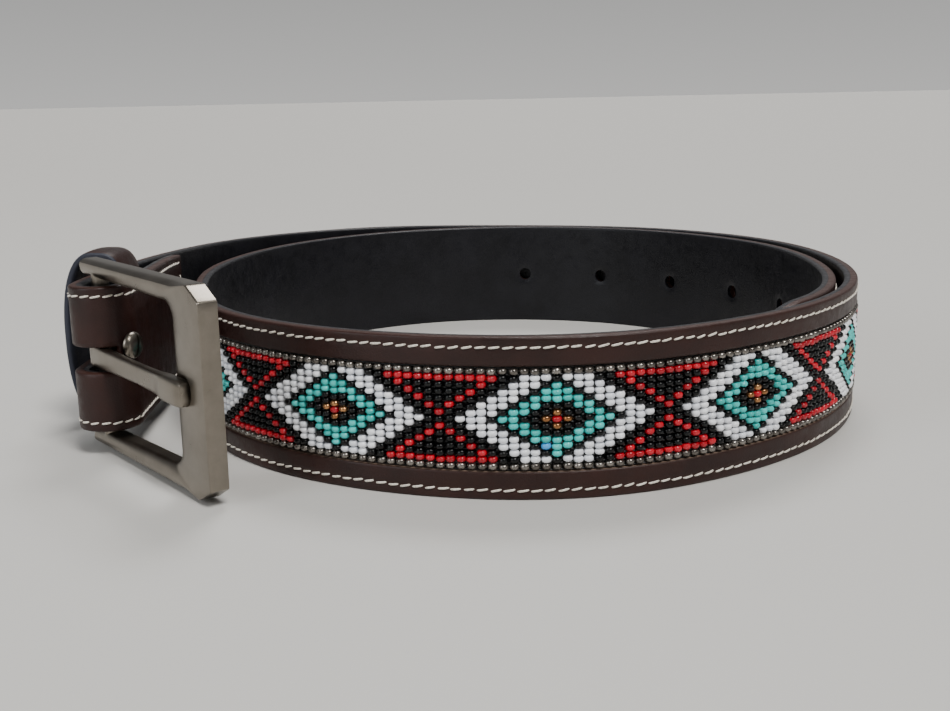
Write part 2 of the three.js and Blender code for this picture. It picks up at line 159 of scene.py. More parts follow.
@dataclass(frozen=True)
class GrainLeather:
    """Chrome-tanned cowhide, drum-dyed and lightly polished: a dark satin skin with fine pores."""

    name: str
    deep: str
    mid: str
    edge_highlight: str
    roughness: float
    pore_mm: float = 0.75
    pore_depth_mm: float = 0.15
    fibre_mm: float = 0.35
    mottle_mm: float = 14.0
    scuff_mm: float = 3.5
    raw_edge: str = "#7b685b"

    def build(self) -> Material:
        """Builds the node material and returns it."""
        noises = (
            ("fibre", self.fibre_mm, 3.0, 0.6),
            ("mottle", self.mottle_mm, 4.0, 0.62),
            ("scuffs", self.scuff_mm, 6.0, 0.7),
        )
        nodes = [
            (name, "TexNoise", {"Scale": per_mm(size), "Detail": fine, "Roughness": mix}, OWN_PLACE)
            for name, size, fine, mix in noises
        ]
        cells = {"feature": "DISTANCE_TO_EDGE", "Scale": per_mm(self.pore_mm)}
        tones = {"stops": [(0.3, self.deep), (0.7, self.mid)]}
        edge_highlight, raw = ({"data_type": "RGBA", 7: linear(c)} for c in (self.edge_highlight, self.raw_edge))
        matt = {"From Min": 0.3, "From Max": 0.7}
        matt |= {"To Min": self.roughness - 0.1, "To Max": self.roughness + 0.16}
        swell = {"Strength": 0.3, "Distance": 0.25 * MM}
        grain = {"Strength": 0.5, "Distance": self.pore_depth_mm * MM}
        fuzz = {"Strength": 0.3, "Distance": 0.04 * MM}
        nodes += [
            ("pores", "TexVoronoi", cells, OWN_PLACE),
            ("tone", "ValToRGB", tones, {"Fac": "mottle.Fac"}),
            # The rim mark mixes in the leather's fourth colour, a painted highlight on rounded
            # edges and cut sides.
            ("rim", "Attribute", {"attribute_name": "rim"}, {}),
            ("rubbed", "Math", {"operation": "MULTIPLY", 1: 0.75}, {0: "rim.Fac"}),
            ("aged", "Mix", edge_highlight, {0: "rubbed.0", 6: "tone.Color"}),
            ("cut", "Attribute", {"attribute_name": "cut"}, {}),
            ("colour", "Mix", raw, {0: "cut.Fac", 6: "aged.2"}),
            ("rough", "MapRange", matt, {"Value": "scuffs.Fac"}),
            ("swell", "Bump", swell, {"Height": "mottle.Fac"}),
            ("grain", "Bump", grain, {"Height": "pores.Distance", "Normal": "swell.Normal"}),
            ("relief", "Bump", fuzz, {"Height": "fibre.Fac", "Normal": "grain.Normal"}),
        ]
        look = {"IOR": 1.5, "Specular IOR Level": 0.32}
        return make_material(self.name, nodes, look, "colour.2")


@dataclass(frozen=True)
class WaxedThread:
    """Bonded polyester sewing thread, twisted and waxed: off-white with a soft silky shine."""

    name: str = "thread_waxed_polyester"
    light: str = "#efe9dd"
    shade: str = "#bdb3a2"
    twist_mm: float = 0.45

    def build(self) -> Material:
        """Builds the node material and returns it."""
        tones = {"stops": [(0.3, self.shade), (0.6, self.light)]}
        nodes = [
            ("twist", "TexNoise", {"Scale": per_mm(self.twist_mm), "Detail": 2.0}, OWN_PLACE),
            ("colour", "ValToRGB", tones, {"Fac": "twist.Fac"}),
            ("relief", "Bump", {"Strength": 0.4, "Distance": 0.08 * MM}, {"Height": "twist.Fac"}),
        ]
        return make_material(self.name, nodes, {"Roughness": 0.5, "IOR": 1.55, "Sheen Weight": 0.2})


@dataclass(frozen=True)
class SeedGlass:
    """Drawn seed-bead glass, cut and fire-polished: a wet gloss over solid or lined colour."""

    name: str
    light: str
    dark: str
    roughness: float = 0.14
    metallic: float = 0.0
    shine: float = 0.5
    ripple_mm: float = 0.9

    def build(self) -> Material:
        """Builds the node material and returns it."""
        tones = {"stops": [(0.0, self.dark), (1.0, self.light)]}
        gloss = {"To Min": self.roughness * 0.7, "To Max": self.roughness * 1.5}
        nodes = [
            ("tone", "Attribute", {"attribute_name": "tone"}, {}),
            ("colour", "ValToRGB", tones, {"Fac": "tone.Fac"}),
            ("ripple", "TexNoise", {"Scale": per_mm(self.ripple_mm), "Detail": 2.0}, OWN_PLACE),
            ("rough", "MapRange", gloss, {"Value": "ripple.Fac"}),
            ("relief", "Bump", {"Strength": 0.25, "Distance": 0.06 * MM}, {"Height": "ripple.Fac"}),
        ]
        look = {"Metallic": self.metallic, "IOR": 1.52, "Specular IOR Level": self.shine}
        return make_material(self.name, nodes, look)


@dataclass(frozen=True)
class SatinNickel:
    """Zinc alloy, die-cast and plated in satin nickel: a soft warm-grey metal with broad glints."""

    name: str = "nickel_satin_plated"
    light: str = "#888177"
    dark: str = "#7c756b"
    roughness: float = 0.28
    cloud_mm: float = 6.0
    satin_mm: float = 0.4

    def build(self) -> Material:
        """Builds the node material and returns it."""
        cloud = {"Scale": per_mm(self.cloud_mm), "Detail": 5.0, "Roughness": 0.6}
        satin = {"Scale": per_mm(self.satin_mm), "Detail": 1.0, "Roughness": 0.5}
        tones = {"stops": [(0.35, self.dark), (0.65, self.light)]}
        haze = {"To Min": self.roughness - 0.06, "To Max": self.roughness + 0.1}
        nodes = [
            ("cloud", "TexNoise", cloud, OWN_PLACE),
            ("satin", "TexNoise", satin, OWN_PLACE),
            ("colour", "ValToRGB", tones, {"Fac": "cloud.Fac"}),
            ("rough", "MapRange", haze, {"Value": "cloud.Fac"}),
            ("relief", "Bump", {"Strength": 0.08, "Distance": 0.015 * MM}, {"Height": "satin.Fac"}),
        ]
        return make_material(self.name, nodes, {"Metallic": 1.0})


@dataclass(frozen=True)
class MattPaint:
    """Matt emulsion on a smooth board: a plain pale ground with no shine of its own."""

    name: str = "paint_matt_emulsion"
    tint: str = "#cac8c4"
    roller_mm: float = 3.0

    def build(self) -> Material:
        """Builds the node material and returns it."""
        nodes = [
            ("roller", "TexNoise", {"Scale": per_mm(self.roller_mm), "Detail": 2.0}, OWN_PLACE),
            ("relief", "Bump", {"Strength": 0.05, "Distance": 0.05 * MM}, {"Height": "roller.Fac"}),
        ]
        return make_material(
            self.name, nodes, {"Base Color": linear(self.tint), "Roughness": 0.55}
        )


def make_object(
    name: str,
    points: Array,
    faces: Array | Sequence[Sequence[int]],
    material: Material,
    sharp_degrees: float = 35.0,
    marks: dict[str, Array] | None = None,
) -> Object:
    """Makes a mesh object from points in millimetres.

    Args:
        name: The piece's name.
        points: Vertices, three columns, in millimetres.
        faces: Rows of vertex numbers, all of one length or of several.
        material: The finish of every face.
        sharp_degrees: Edges that turn by more than this stay crisp.
        marks: Float attributes by name, one value a vertex.

    Returns:
        The object, linked to the scene.
    """
    mesh = bpy.data.meshes.new(name)
    if isinstance(faces, np.ndarray):
        count, sides = faces.shape
        mesh.vertices.add(len(points))
        mesh.vertices.foreach_set("co", (points * MM).astype(np.float32).ravel())
        mesh.loops.add(count * sides)
        mesh.loops.foreach_set("vertex_index", faces.astype(np.int32).ravel())
        mesh.polygons.add(count)
        mesh.polygons.foreach_set("loop_start", np.arange(0, count * sides, sides, dtype=np.int32))
    else:
        mesh.from_pydata((points * MM).tolist(), [], [list(f) for f in faces])
    for mark, values in (marks or {}).items():
        layer = mesh.attributes.new(mark, "FLOAT", "POINT")
        layer.data.foreach_set("value", values.astype(np.float32))
    mesh.validate()
    mesh.update()
    mesh.polygons.foreach_set("use_smooth", np.ones(len(mesh.polygons), dtype=bool))
    mesh.set_sharp_from_angle(angle=math.radians(sharp_degrees))
    mesh.materials.append(material)
    made = bpy.data.objects.new(name, mesh)
    bpy.context.scene.collection.objects.link(made)
    return made


class Carve(Enum):
    """How one solid is put together with another."""

    ADD = "UNION"
    CUT = "DIFFERENCE"


def combine(
    piece: Object, tools: Sequence[tuple[Object, Carve]], crease: float
) -> None:
    """Adds solids to a piece or cuts them out of it.

    Args:
        piece: The solid that stays.
        tools: The other solids, which are used up, and what each does.
        crease: Edges that turn by more than this many degrees stay crisp.
    """
    for tool, work in tools:
        modifier = piece.modifiers.new(tool.name, "BOOLEAN")
        modifier.operation = work.value
        modifier.object = tool
        modifier.solver = "EXACT"
    graph = bpy.context.evaluated_depsgraph_get()
    mesh = bpy.data.meshes.new_from_object(piece.evaluated_get(graph))
    piece.modifiers.clear()
    piece.data = mesh
    mesh.set_sharp_from_angle(angle=math.radians(crease))
    for tool, _ in tools:
        bpy.data.objects.remove(tool)


def turns(count: int) -> Array:
    """Angles of a full turn in even steps, in radians."""
    return np.linspace(0, 2 * math.pi, count, endpoint=False)


def repeat_faces(faces: Array, each: int, count: int) -> Array:
    """The same faces again on every copy of a shape.

    Args:
        faces: The faces of one shape.
        each: How many vertices the shape has.
        count: How many copies there are.

    Returns:
        Rows of vertex numbers for all copies.
    """
    return (faces[None] + each * np.arange(count)[:, None, None]).reshape(-1, faces.shape[1])


def loft_faces(rings: int, sides: int) -> list[list[int]]:
    """Faces of a closed body through rings of points.

    Args:
        rings: How many rings.
        sides: Points in each ring.

    Returns:
        Quads between the rings and one cap at each end.
    """
    faces = []
    for ring in range(rings - 1):
        for i in range(sides):
            a, b = ring * sides + i, ring * sides + (i + 1) % sides
            faces.append([a, b, b + sides, a + sides])
    faces.append(list(range(sides))[::-1])
    faces.append([(rings - 1) * sides + i for i in range(sides)])
    return faces


def ring_faces(rings: int, sides: int) -> Array:
    """Quads of a body whose rings close on themselves, like a torus.

    Args:
        rings: How many rings.
        sides: Points in each ring.

    Returns:
        Rows of four vertex numbers.
    """
    ring, side = np.meshgrid(np.arange(rings), np.arange(sides), indexing="ij")
    after, beside = (ring + 1) % rings, (side + 1) % sides
    corners = [ring * sides + side, ring * sides + beside, after * sides + beside]
    corners.append(after * sides + side)
    return np.stack([c.ravel() for c in corners], axis=1)


def smooth_through(x: Array, y: Array) -> Callable[[Array], Array]:
    """A cubic through all knots with a steady bend, straight at both ends.

    Args:
        x: The knots' places, rising.
        y: The knots' values.

    Returns:
        A function that gives the values at any places.
    """
    gap = np.diff(x)
    slope = np.diff(y) / gap
    size = len(x)
    system = np.eye(size)
    bends = np.zeros(size)
    for i in range(1, size - 1):
        system[i, i - 1 : i + 2] = gap[i - 1], 2 * (gap[i - 1] + gap[i]), gap[i]
        bends[i] = 6 * (slope[i] - slope[i - 1])
    bend = np.linalg.solve(system, bends)

    def value(at: Array) -> Array:
        """The cubic's values.

        Args:
            at: Any places between the knots.

        Returns:
            The values there.
        """
        i = np.clip(np.searchsorted(x, at, side="right") - 1, 0, size - 2)
        b = (at - x[i]) / gap[i]
        a = 1 - b
        bulge = (a**3 - a) * bend[i] + (b**3 - b) * bend[i + 1]
        return a * y[i] + b * y[i + 1] + gap[i] ** 2 / 6 * bulge

    return value


def smoothstep(value: Array, low: float, high: float) -> Array:
    """Eases from 0 at low to 1 at high.

    Args:
        value: The values to ease.
        low: Where the ease starts.
        high: Where it ends.

    Returns:
        The eased values.
    """
    share = np.clip((value - low) / (high - low), 0, 1)
    return share * share * (3 - 2 * share)


def side_of(line: Array) -> Array:
    """The unit normal to the left of lines seen from above.

    Args:
        line: Vectors along the lines, two columns.

    Returns:
        The normals, two columns.
    """
    line = line / np.linalg.norm(line, axis=-1, keepdims=True)
    return np.stack([-line[..., 1], line[..., 0]], axis=-1)


def rotate(points: Array, angle: Array | float) -> Array:
    """Turns points about the upright axis.

    Args:
        points: The points' places, with X and Y in the last two columns.
        angle: The angle or angles, in radians.

    Returns:
        The turned X and Y, two columns.
    """
    x, y, cos, sin = points[..., 0], points[..., 1], np.cos(angle), np.sin(angle)
    return np.stack([x * cos - y * sin, x * sin + y * cos], axis=-1)


# Degrees turned from the buckle, radius of the brown face as a share of the coil's radius,
# and how many straps lie outside this one.
COIL_TABLE = (
    (0, 1.111, 0), (13, 0.98, 0), (28, 0.911, 0), (43, 0.906, 0), (58, 0.95, 0),
    (73, 1.024, 0), (88, 1.075, 0), (103, 1.064, 0), (118, 1.0, 0), (133, 0.963, 0),
    (153, 0.967, 0), (173, 0.963, 0), (193, 0.951, 0), (213, 0.938, 0), (233, 0.953, 0),
    (253, 0.983, 0), (273, 1.007, 0), (293, 1.022, 0), (313, 0.983, 0), (333, 0.925, 0),
    (353, 0.89, 1), (373, 0.82, 1), (393, 0.803, 1), (413, 0.819, 1), (433, 0.863, 1),
    (453, 0.913, 1), (473, 0.953, 1), (493, 0.963, 1), (513, 0.954, 1), (533, 0.934, 1),
    (553, 0.925, 1), (573, 0.916, 1), (593, 0.938, 1), (613, 0.983, 1), (623, 0.9972, 1),
    (631, 1.006, 1),
)  # fmt: skip


@dataclass
class StrapRoute:
    """The way of the strap's brown face, seen from above.

    A station is a length along the strap, in millimetres, from where the fold starts.
    Stations below zero run round the fold and then along the flap.
    """

    coil_radius: float = 118.0
    turn_gap: float = 0.8
    start_bearing: float = 213.0
    thickness: float = 3.75
    width: float = 38.0
    lift: float = 6.9
    lift_run: float = 200.0
    loop_radius: float = 8.2
    flap_length: float = 72.0
    flap_space: float = 1.4
    tip_length: float = 26.0
    tip_blunt: float = 0.17
    half_step: float = 0.5
    length: float = field(init=False)
    centre: Array = field(init=False)
    start_normal: Array = field(init=False)

    def __post_init__(self) -> None:
        """Works out the spline, the length table and the coil's place in the frame."""
        table = np.array(COIL_TABLE, float)
        radius = table[:, 1] * self.coil_radius - table[:, 2] * (self.thickness + self.turn_gap)
        self._radius = smooth_through(table[:, 0], radius)
        self._degrees = np.arange(0, table[-1, 0] + 1)
        steps = np.linalg.norm(np.diff(self._coil_point(self._degrees), axis=0), axis=1)
        self._lengths = np.concatenate([[0], np.cumsum(steps)])
        self.length = float(self._lengths[-1])
        start, normal = self._carrier(np.array([0.0]))
        self.start_normal = normal[0]
        self.bar = start[0] - self.loop_radius * self.start_normal
        self.fold_length = math.pi * self.loop_radius
        self.middle = self.width / 2
        pivot = next(j for j in frame["joints"] if j["name"] == "buckle_swing")["pos_m"]
        self.centre = np.array(pivot[:2]) / MM - self.bar
        self.pivot = np.array(pivot) / MM

    def _coil_point(self, turned: Array) -> Array:
        """Points of the brown face about the coil's centre.

        Args:
            turned: Degrees turned from the buckle.

        Returns:
            Points seen from above, two columns.
        """
        bearing = np.radians(self.start_bearing - turned)
        radius = self._radius(turned)
        return np.stack([radius * np.cos(bearing), radius * np.sin(bearing)], axis=-1)

    def station_at(self, turned: float) -> float:
        """The station at a number of degrees turned from the buckle."""
        return float(np.interp(turned, self._degrees, self._lengths))

    def _carrier(self, length: Array) -> tuple[Array, Array]:
        """The strap without its fold and flap.

        Args:
            length: Lengths along the strap.

        Returns:
            Points about the coil's centre and outward normals.
        """
        turned = np.interp(length, self._lengths, self._degrees)
        turned = np.where(length < 0, length / self._lengths[1], turned)
        ahead, behind = turned + self.half_step, turned - self.half_step
        return self._coil_point(turned), side_of(self._coil_point(ahead) - self._coil_point(behind))

    def flap_depth(self, length: Array) -> Array:
        """How deep the flap's brown face lies below the strap's.

        Args:
            length: Lengths along the strap.

        Returns:
            Depths that close from the fold's width to the flap's end.
        """
        closed = 2 * self.thickness + self.flap_space
        eased = smoothstep(length, 0, self.flap_length)
        return closed + (2 * self.loop_radius - closed) * (1 - eased)

    def _flap_point(self, length: Array) -> Array:
        """Points of the flap's brown face."""
        point, normal = self._carrier(length)
        return point - normal * self.flap_depth(length)[..., None]

    def along(self, station: Array) -> Array:
        """Lengths from the fold, for stations on the strap or on the flap."""
        return np.where(station >= 0, station, np.maximum(-self.fold_length - station, 0))

    def place(self, station: Array) -> tuple[Array, Array, Array]:
        """Where the brown face lies.

        Args:
            station: Stations in millimetres.

        Returns:
            Points seen from above, outward normals, and heights of the lower edge.
        """
        length = self.along(station)
        point, normal = self._carrier(length)
        turn = math.pi - np.clip(1 + station / self.fold_length, 0, 1) * math.pi
        fold_normal = rotate(self.start_normal, turn)
        fold_point = self.bar + self.loop_radius * fold_normal
        ahead, behind = length - self.half_step, length + self.half_step
        flap_normal = side_of(self._flap_point(ahead) - self._flap_point(behind))
        in_fold = ((station < 0) & (station >= -self.fold_length))[..., None]
        in_flap = (station < -self.fold_length)[..., None]
        point = np.where(in_fold, fold_point, np.where(in_flap, self._flap_point(length), point))
        normal = np.where(in_fold, fold_normal, np.where(in_flap, flap_normal, normal))
        floor = self.lift * (1 - smoothstep(length, 0, self.lift_run))
        return point + self.centre, normal, floor

    def solid_point(self, station: Array, depth: Array, height: Array) -> Array:
        """Points in space.

        Args:
            station: Stations in millimetres.
            depth: Depths below the brown face.
            height: Heights above the lower edge.

        Returns:
            Points, three columns, in millimetres in the row's frame.
        """
        station, depth, height = np.broadcast_arrays(station, depth, height)
        point, normal, floor = self.place(station.astype(float))
        plan = point - normal * depth[..., None]
        return np.concatenate([plan, (floor + height)[..., None]], axis=-1)

    def half_width(self, station: Array) -> Array:
        """Half the strap's width, rounded off towards the tip.

        Args:
            station: Stations in millimetres.

        Returns:
            Half widths in millimetres.
        """
        into = np.maximum(0, (station - self.length + self.tip_length) / self.tip_length)
        share = np.minimum(into, 1) * math.sqrt(1 - self.tip_blunt**2)
        return self.middle * np.sqrt(1 - share**2)


@dataclass
class PanelPlan:
    """Where the bead panel, its window and the adjusting holes lie on the strap."""

    route: StrapRoute
    start: float = 110.0
    to_first_hole: float = 42.0
    hole_count: int = 5
    hole_pitch: float = 32.5
    hole_radius: float = 2.4
    tip_to_last_hole: float = 131.0
    row_pitch: float = 1.59
    rows: int = 15
    margin: float = 0.35
    slot_back: float = 13.0
    slot_end_bearing: float = 54.0
    slot_half: float = 3.4

    @property
    def holes(self) -> list[float]:
        """Stations of the holes."""
        last = self.route.length - self.tip_to_last_hole
        return [last - i * self.hole_pitch for i in range(self.hole_count)]

    @property
    def end(self) -> float:
        """Station of the panel's far end."""
        return min(self.holes) - self.to_first_hole

    @property
    def half(self) -> float:
        """Half the height of the woven band."""
        return self.rows * self.row_pitch / 2

    @property
    def window_half(self) -> float:
        """Half the height of the window that the band lies in."""
        return self.half + self.margin

    def past_window(self, station: Array) -> Array:
        """How far stations lie beyond the window's ends, below zero inside it."""
        return np.maximum(self.start - self.margin - station, station - self.end - self.margin)

    @property
    def slot(self) -> tuple[float, float]:
        """Stations of the slot's ends."""
        return -self.route.fold_length * (1 - self.slot_end_bearing / 180), self.slot_back


@dataclass
class StrapPly:
    """One ply of the strap as a fine sheet with rounded edges, holes, slot and window."""

    plan: PanelPlan
    ply: Ply
    face: float
    back: float
    rounding: float = 0.6
    step: float = 4.0
    fold_step: float = 1.7
    flap_steps: int = 22
    tip_steps: int = 14
    clear_line: float = 0.25
    clear_hole: float = 0.7
    slot_edge: float = 0.3
    groove: float = 2.35
    groove_half: float = 0.65
    groove_depth: float = 0.2
    window_rounding: float = 0.5
    slot_rounding: float = 0.35
    hole_ring: float = 1.2
    hole_dip: float = 0.28
    hole_lines: tuple[float, ...] = (1.2, 2.4, 3.6, 5.0)
    edge_lines: tuple[float, ...] = (0.0, 0.12, 0.32, 0.6, 1.1, 1.7, 2.35, 3.0, 3.8, 4.9)
    window_lines: tuple[float, ...] = (0.0, 0.12, 0.3, 0.7)
    field_lines: tuple[float, ...] = (9.5, 12.3, 14.2)

    def stations(self) -> Array:
        """Stations of the sheet's cross lines."""
        route, plan = self.plan.route, self.plan
        flap_end = -route.fold_length - route.flap_length
        base = [
            np.linspace(flap_end, -route.fold_length, self.flap_steps),
            np.linspace(-route.fold_length, 0, round(route.fold_length / self.fold_step)),
            np.arange(self.step, route.length - route.tip_length, self.step),
            route.length - route.tip_length * np.cos(np.linspace(0, math.pi / 2, self.tip_steps)),
        ]
        lines = np.concatenate(base)
        rim = self.edge_lines[1:5]
        fixed = [flap_end + x for x in rim] + [route.length - x for x in rim]
        fixed += [*plan.slot, plan.slot[0] - self.slot_edge, plan.slot[1] + self.slot_edge]
        if self.ply is Ply.TOP:
            fixed += [plan.start - plan.margin - x for x in self.window_lines]
            fixed += [plan.end + plan.margin + x for x in self.window_lines]
        holes, reach = np.array(plan.holes), self.hole_lines[-1] + self.clear_hole
        lines = lines[np.min(np.abs(lines[:, None] - np.array(fixed)), axis=1) > self.clear_line]
        lines = lines[np.min(np.abs(lines[:, None] - holes), axis=1) > reach]
        around = [h + side * x for h in plan.holes for x in self.hole_lines for side in (-1, 1)]
        return np.unique(np.concatenate([lines, fixed, around, plan.holes, [flap_end]]).round(4))

    def heights(self) -> Array:
        """Heights of the sheet's long lines."""
        plan, middle = self.plan, self.plan.route.middle
        lines = [*self.edge_lines, *self.field_lines]
        lines += [middle - plan.window_half - x for x in self.window_lines]
        lines += [middle - plan.slot_half - x for x in (self.slot_edge, 0)]
        lines += [middle - x for x in self.hole_lines[:2]]
        return np.unique(np.round([*lines, middle, *[2 * middle - x for x in lines]], 4))

    def build(self, material: Material) -> Object:
        """Builds the ply.

        Args:
            material: The leather.

        Returns:
            The ply's object.
        """
        route = self.plan.route
        lines, rows = self.stations(), self.heights()
        station, height = np.meshgrid(lines, rows, indexing="ij")
        depth = self._face_depth(station, height)
        cut = self._cut_edges(station, height)
        station, height = self._round_holes(station, height)
        half = route.half_width(station)
        height = route.middle + (height - route.middle) * half / route.middle
        sign = 1 if self.back > self.face else -1
        front = route.solid_point(station, self.face + sign * depth, height)
        rear = route.solid_point(station, np.full_like(depth, self.back), height)
        # The rim mark places the painted edge highlight: partly where the face is rounded or sunk
        # (edges, window, slot, stitch groove, hole rings), and fully on the inner sheet so that the
        # ply's cut sides show it.
        rim = np.clip(depth / self.rounding, 0, 1)
        sheets, rims = (front, rear)[::sign], (rim, np.ones_like(rim))[::sign]
        points = np.concatenate([sheet.reshape(-1, 3) for sheet in sheets])
        faces = slab_faces(self._kept_cells(lines, rows))
        used = np.unique(faces)
        order = np.zeros(len(points), int)
        order[used] = np.arange(len(used))
        marks = {"rim": np.stack(rims).ravel()[used], "cut": np.tile(cut.ravel(), 2)[used]}
        name = f"{self.ply.value}_leather"
        made = make_object(name, points[used], order[faces], material, 50, marks)
        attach(made, Body.BELT.value)
        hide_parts(self.ply.value)
        return made

    def _kept_cells(self, lines: Array, rows: Array) -> Array:
        """Which cells of the sheet hold leather.

        Args:
            lines: Stations of the cross lines.
            rows: Heights of the long lines.

        Returns:
            False in the slot, in the holes and in the top ply's window, along by across.
        """
        plan = self.plan
        station = (lines[1:] + lines[:-1])[:, None] / 2
        away = np.abs((rows[1:] + rows[:-1])[None, :] / 2 - plan.route.middle)
        gone = (station > plan.slot[0]) & (station < plan.slot[1]) & (away < plan.slot_half)
        for hole in plan.holes:
            gone |= np.maximum(np.abs(station - hole), away) <= plan.hole_radius
        if self.ply is Ply.TOP:
            gone |= (plan.past_window(station) < 0) & (away < plan.window_half)
        return ~gone

    def _face_depth(self, station: Array, height: Array) -> Array:
        """How far the shown face lies below its plane.

        Args:
            station: Stations of the sheet's crossings.
            height: Their heights.

        Returns:
            Depths of the rounded edges, the stitch groove and the rings round the holes.
        """
        route, plan = self.plan.route, self.plan
        edge = np.minimum(height, route.width - height)
        flap_end = -route.fold_length - route.flap_length
        edge = np.minimum(edge, np.minimum(station - flap_end, route.length - station))
        depth = self._quarter(edge, self.rounding)
        away = np.abs(height - route.middle)
        if self.ply is Ply.TOP:
            beyond = np.maximum(away - plan.window_half, 0)
            gap = np.hypot(np.maximum(plan.past_window(station), 0), beyond)
            depth = np.maximum(depth, self._quarter(gap, self.window_rounding))
            across = np.minimum(np.abs(edge - self.groove) / self.groove_half, 1)
            depth = np.maximum(depth, self.groove_depth * (1 - across) ** 2)
        slot_gap = np.maximum(plan.slot[0] - station, station - plan.slot[1])
        slot_gap = np.maximum(slot_gap, away - plan.slot_half)
        depth = np.maximum(depth, self._quarter(np.maximum(slot_gap, 0), self.slot_rounding))
        for hole in plan.holes:
            near = np.maximum(np.abs(station - hole), away)
            ring = np.clip(1 - np.abs(near - plan.hole_radius) / self.hole_ring, 0, 1)
            depth = np.maximum(depth, self.hole_dip * ring)
        return depth

    def _cut_edges(self, station: Array, height: Array) -> Array:
        """Where the top ply was cut for the bead panel's window.

        Args:
            station: Stations of the sheet's crossings.
            height: Their heights.

        Returns:
            One on the window's edge, else zero.
        """
        if self.ply is Ply.LINING:
            return np.zeros_like(height)
        away = np.abs(height - self.plan.route.middle) - self.plan.window_half
        return (np.abs(np.maximum(self.plan.past_window(station), away)) < 0.01).astype(float)

    @staticmethod
    def _quarter(gap: Array, radius: float) -> Array:
        """Depth of a rounded edge at distances from its rim."""
        into = np.clip(radius - gap, 0, radius)
        return radius - np.sqrt(radius**2 - into**2)

    def _round_holes(self, station: Array, height: Array) -> tuple[Array, Array]:
        """Draws the sheet's lines round each hole into circles.

        Args:
            station: Stations of the sheet's crossings.
            height: Their heights.

        Returns:
            The stations and heights after the move.
        """
        middle, reach = self.plan.route.middle, self.hole_lines[-1]
        for hole in self.plan.holes:
            x, y = station - hole, height - middle
            square = np.maximum(np.abs(x), np.abs(y))
            share = np.clip((reach - square) / (reach - self.plan.hole_radius), 0, 1)
            round_off = 1 + share * (square / np.maximum(np.hypot(x, y), 1e-6) - 1)
            near = square < reach
            station = np.where(near, hole + x * round_off, station)
            height = np.where(near, middle + y * round_off, height)
        return station, height


def slab_faces(kept: Array) -> Array:
    """Faces of a sheet with thickness whose missing cells are holes.

    Args:
        kept: Which cells hold material, along by across.

    Returns:
        Quads over the outer grid, then the inner grid of as many vertices.
    """
    along, across = kept.shape[0] + 1, kept.shape[1] + 1
    outer, inner = 0, along * across
    padded = np.pad(kept, 1)
    before, after = ~padded[:-2, 1:-1], ~padded[2:, 1:-1]
    below, above = ~padded[1:-1, :-2], ~padded[1:-1, 2:]
    corners = (
        ((outer, 0, 0), (outer, 0, 1), (outer, 1, 1), (outer, 1, 0)),
        ((inner, 0, 0), (inner, 1, 0), (inner, 1, 1), (inner, 0, 1)),
        ((outer, 0, 0), (inner, 0, 0), (inner, 0, 1), (outer, 0, 1)),
        ((outer, 1, 0), (outer, 1, 1), (inner, 1, 1), (inner, 1, 0)),
        ((outer, 0, 0), (outer, 1, 0), (inner, 1, 0), (inner, 0, 0)),
        ((outer, 0, 1), (inner, 0, 1), (inner, 1, 1), (outer, 1, 1)),
    )
    quads = []
    for wall, four in zip((kept, kept, before, after, below, above), corners):
        i, j = np.nonzero(kept & wall)
        quads.append(np.stack([grid + (i + u) * across + j + v for grid, u, v in four], axis=1))
    return np.concatenate(quads)


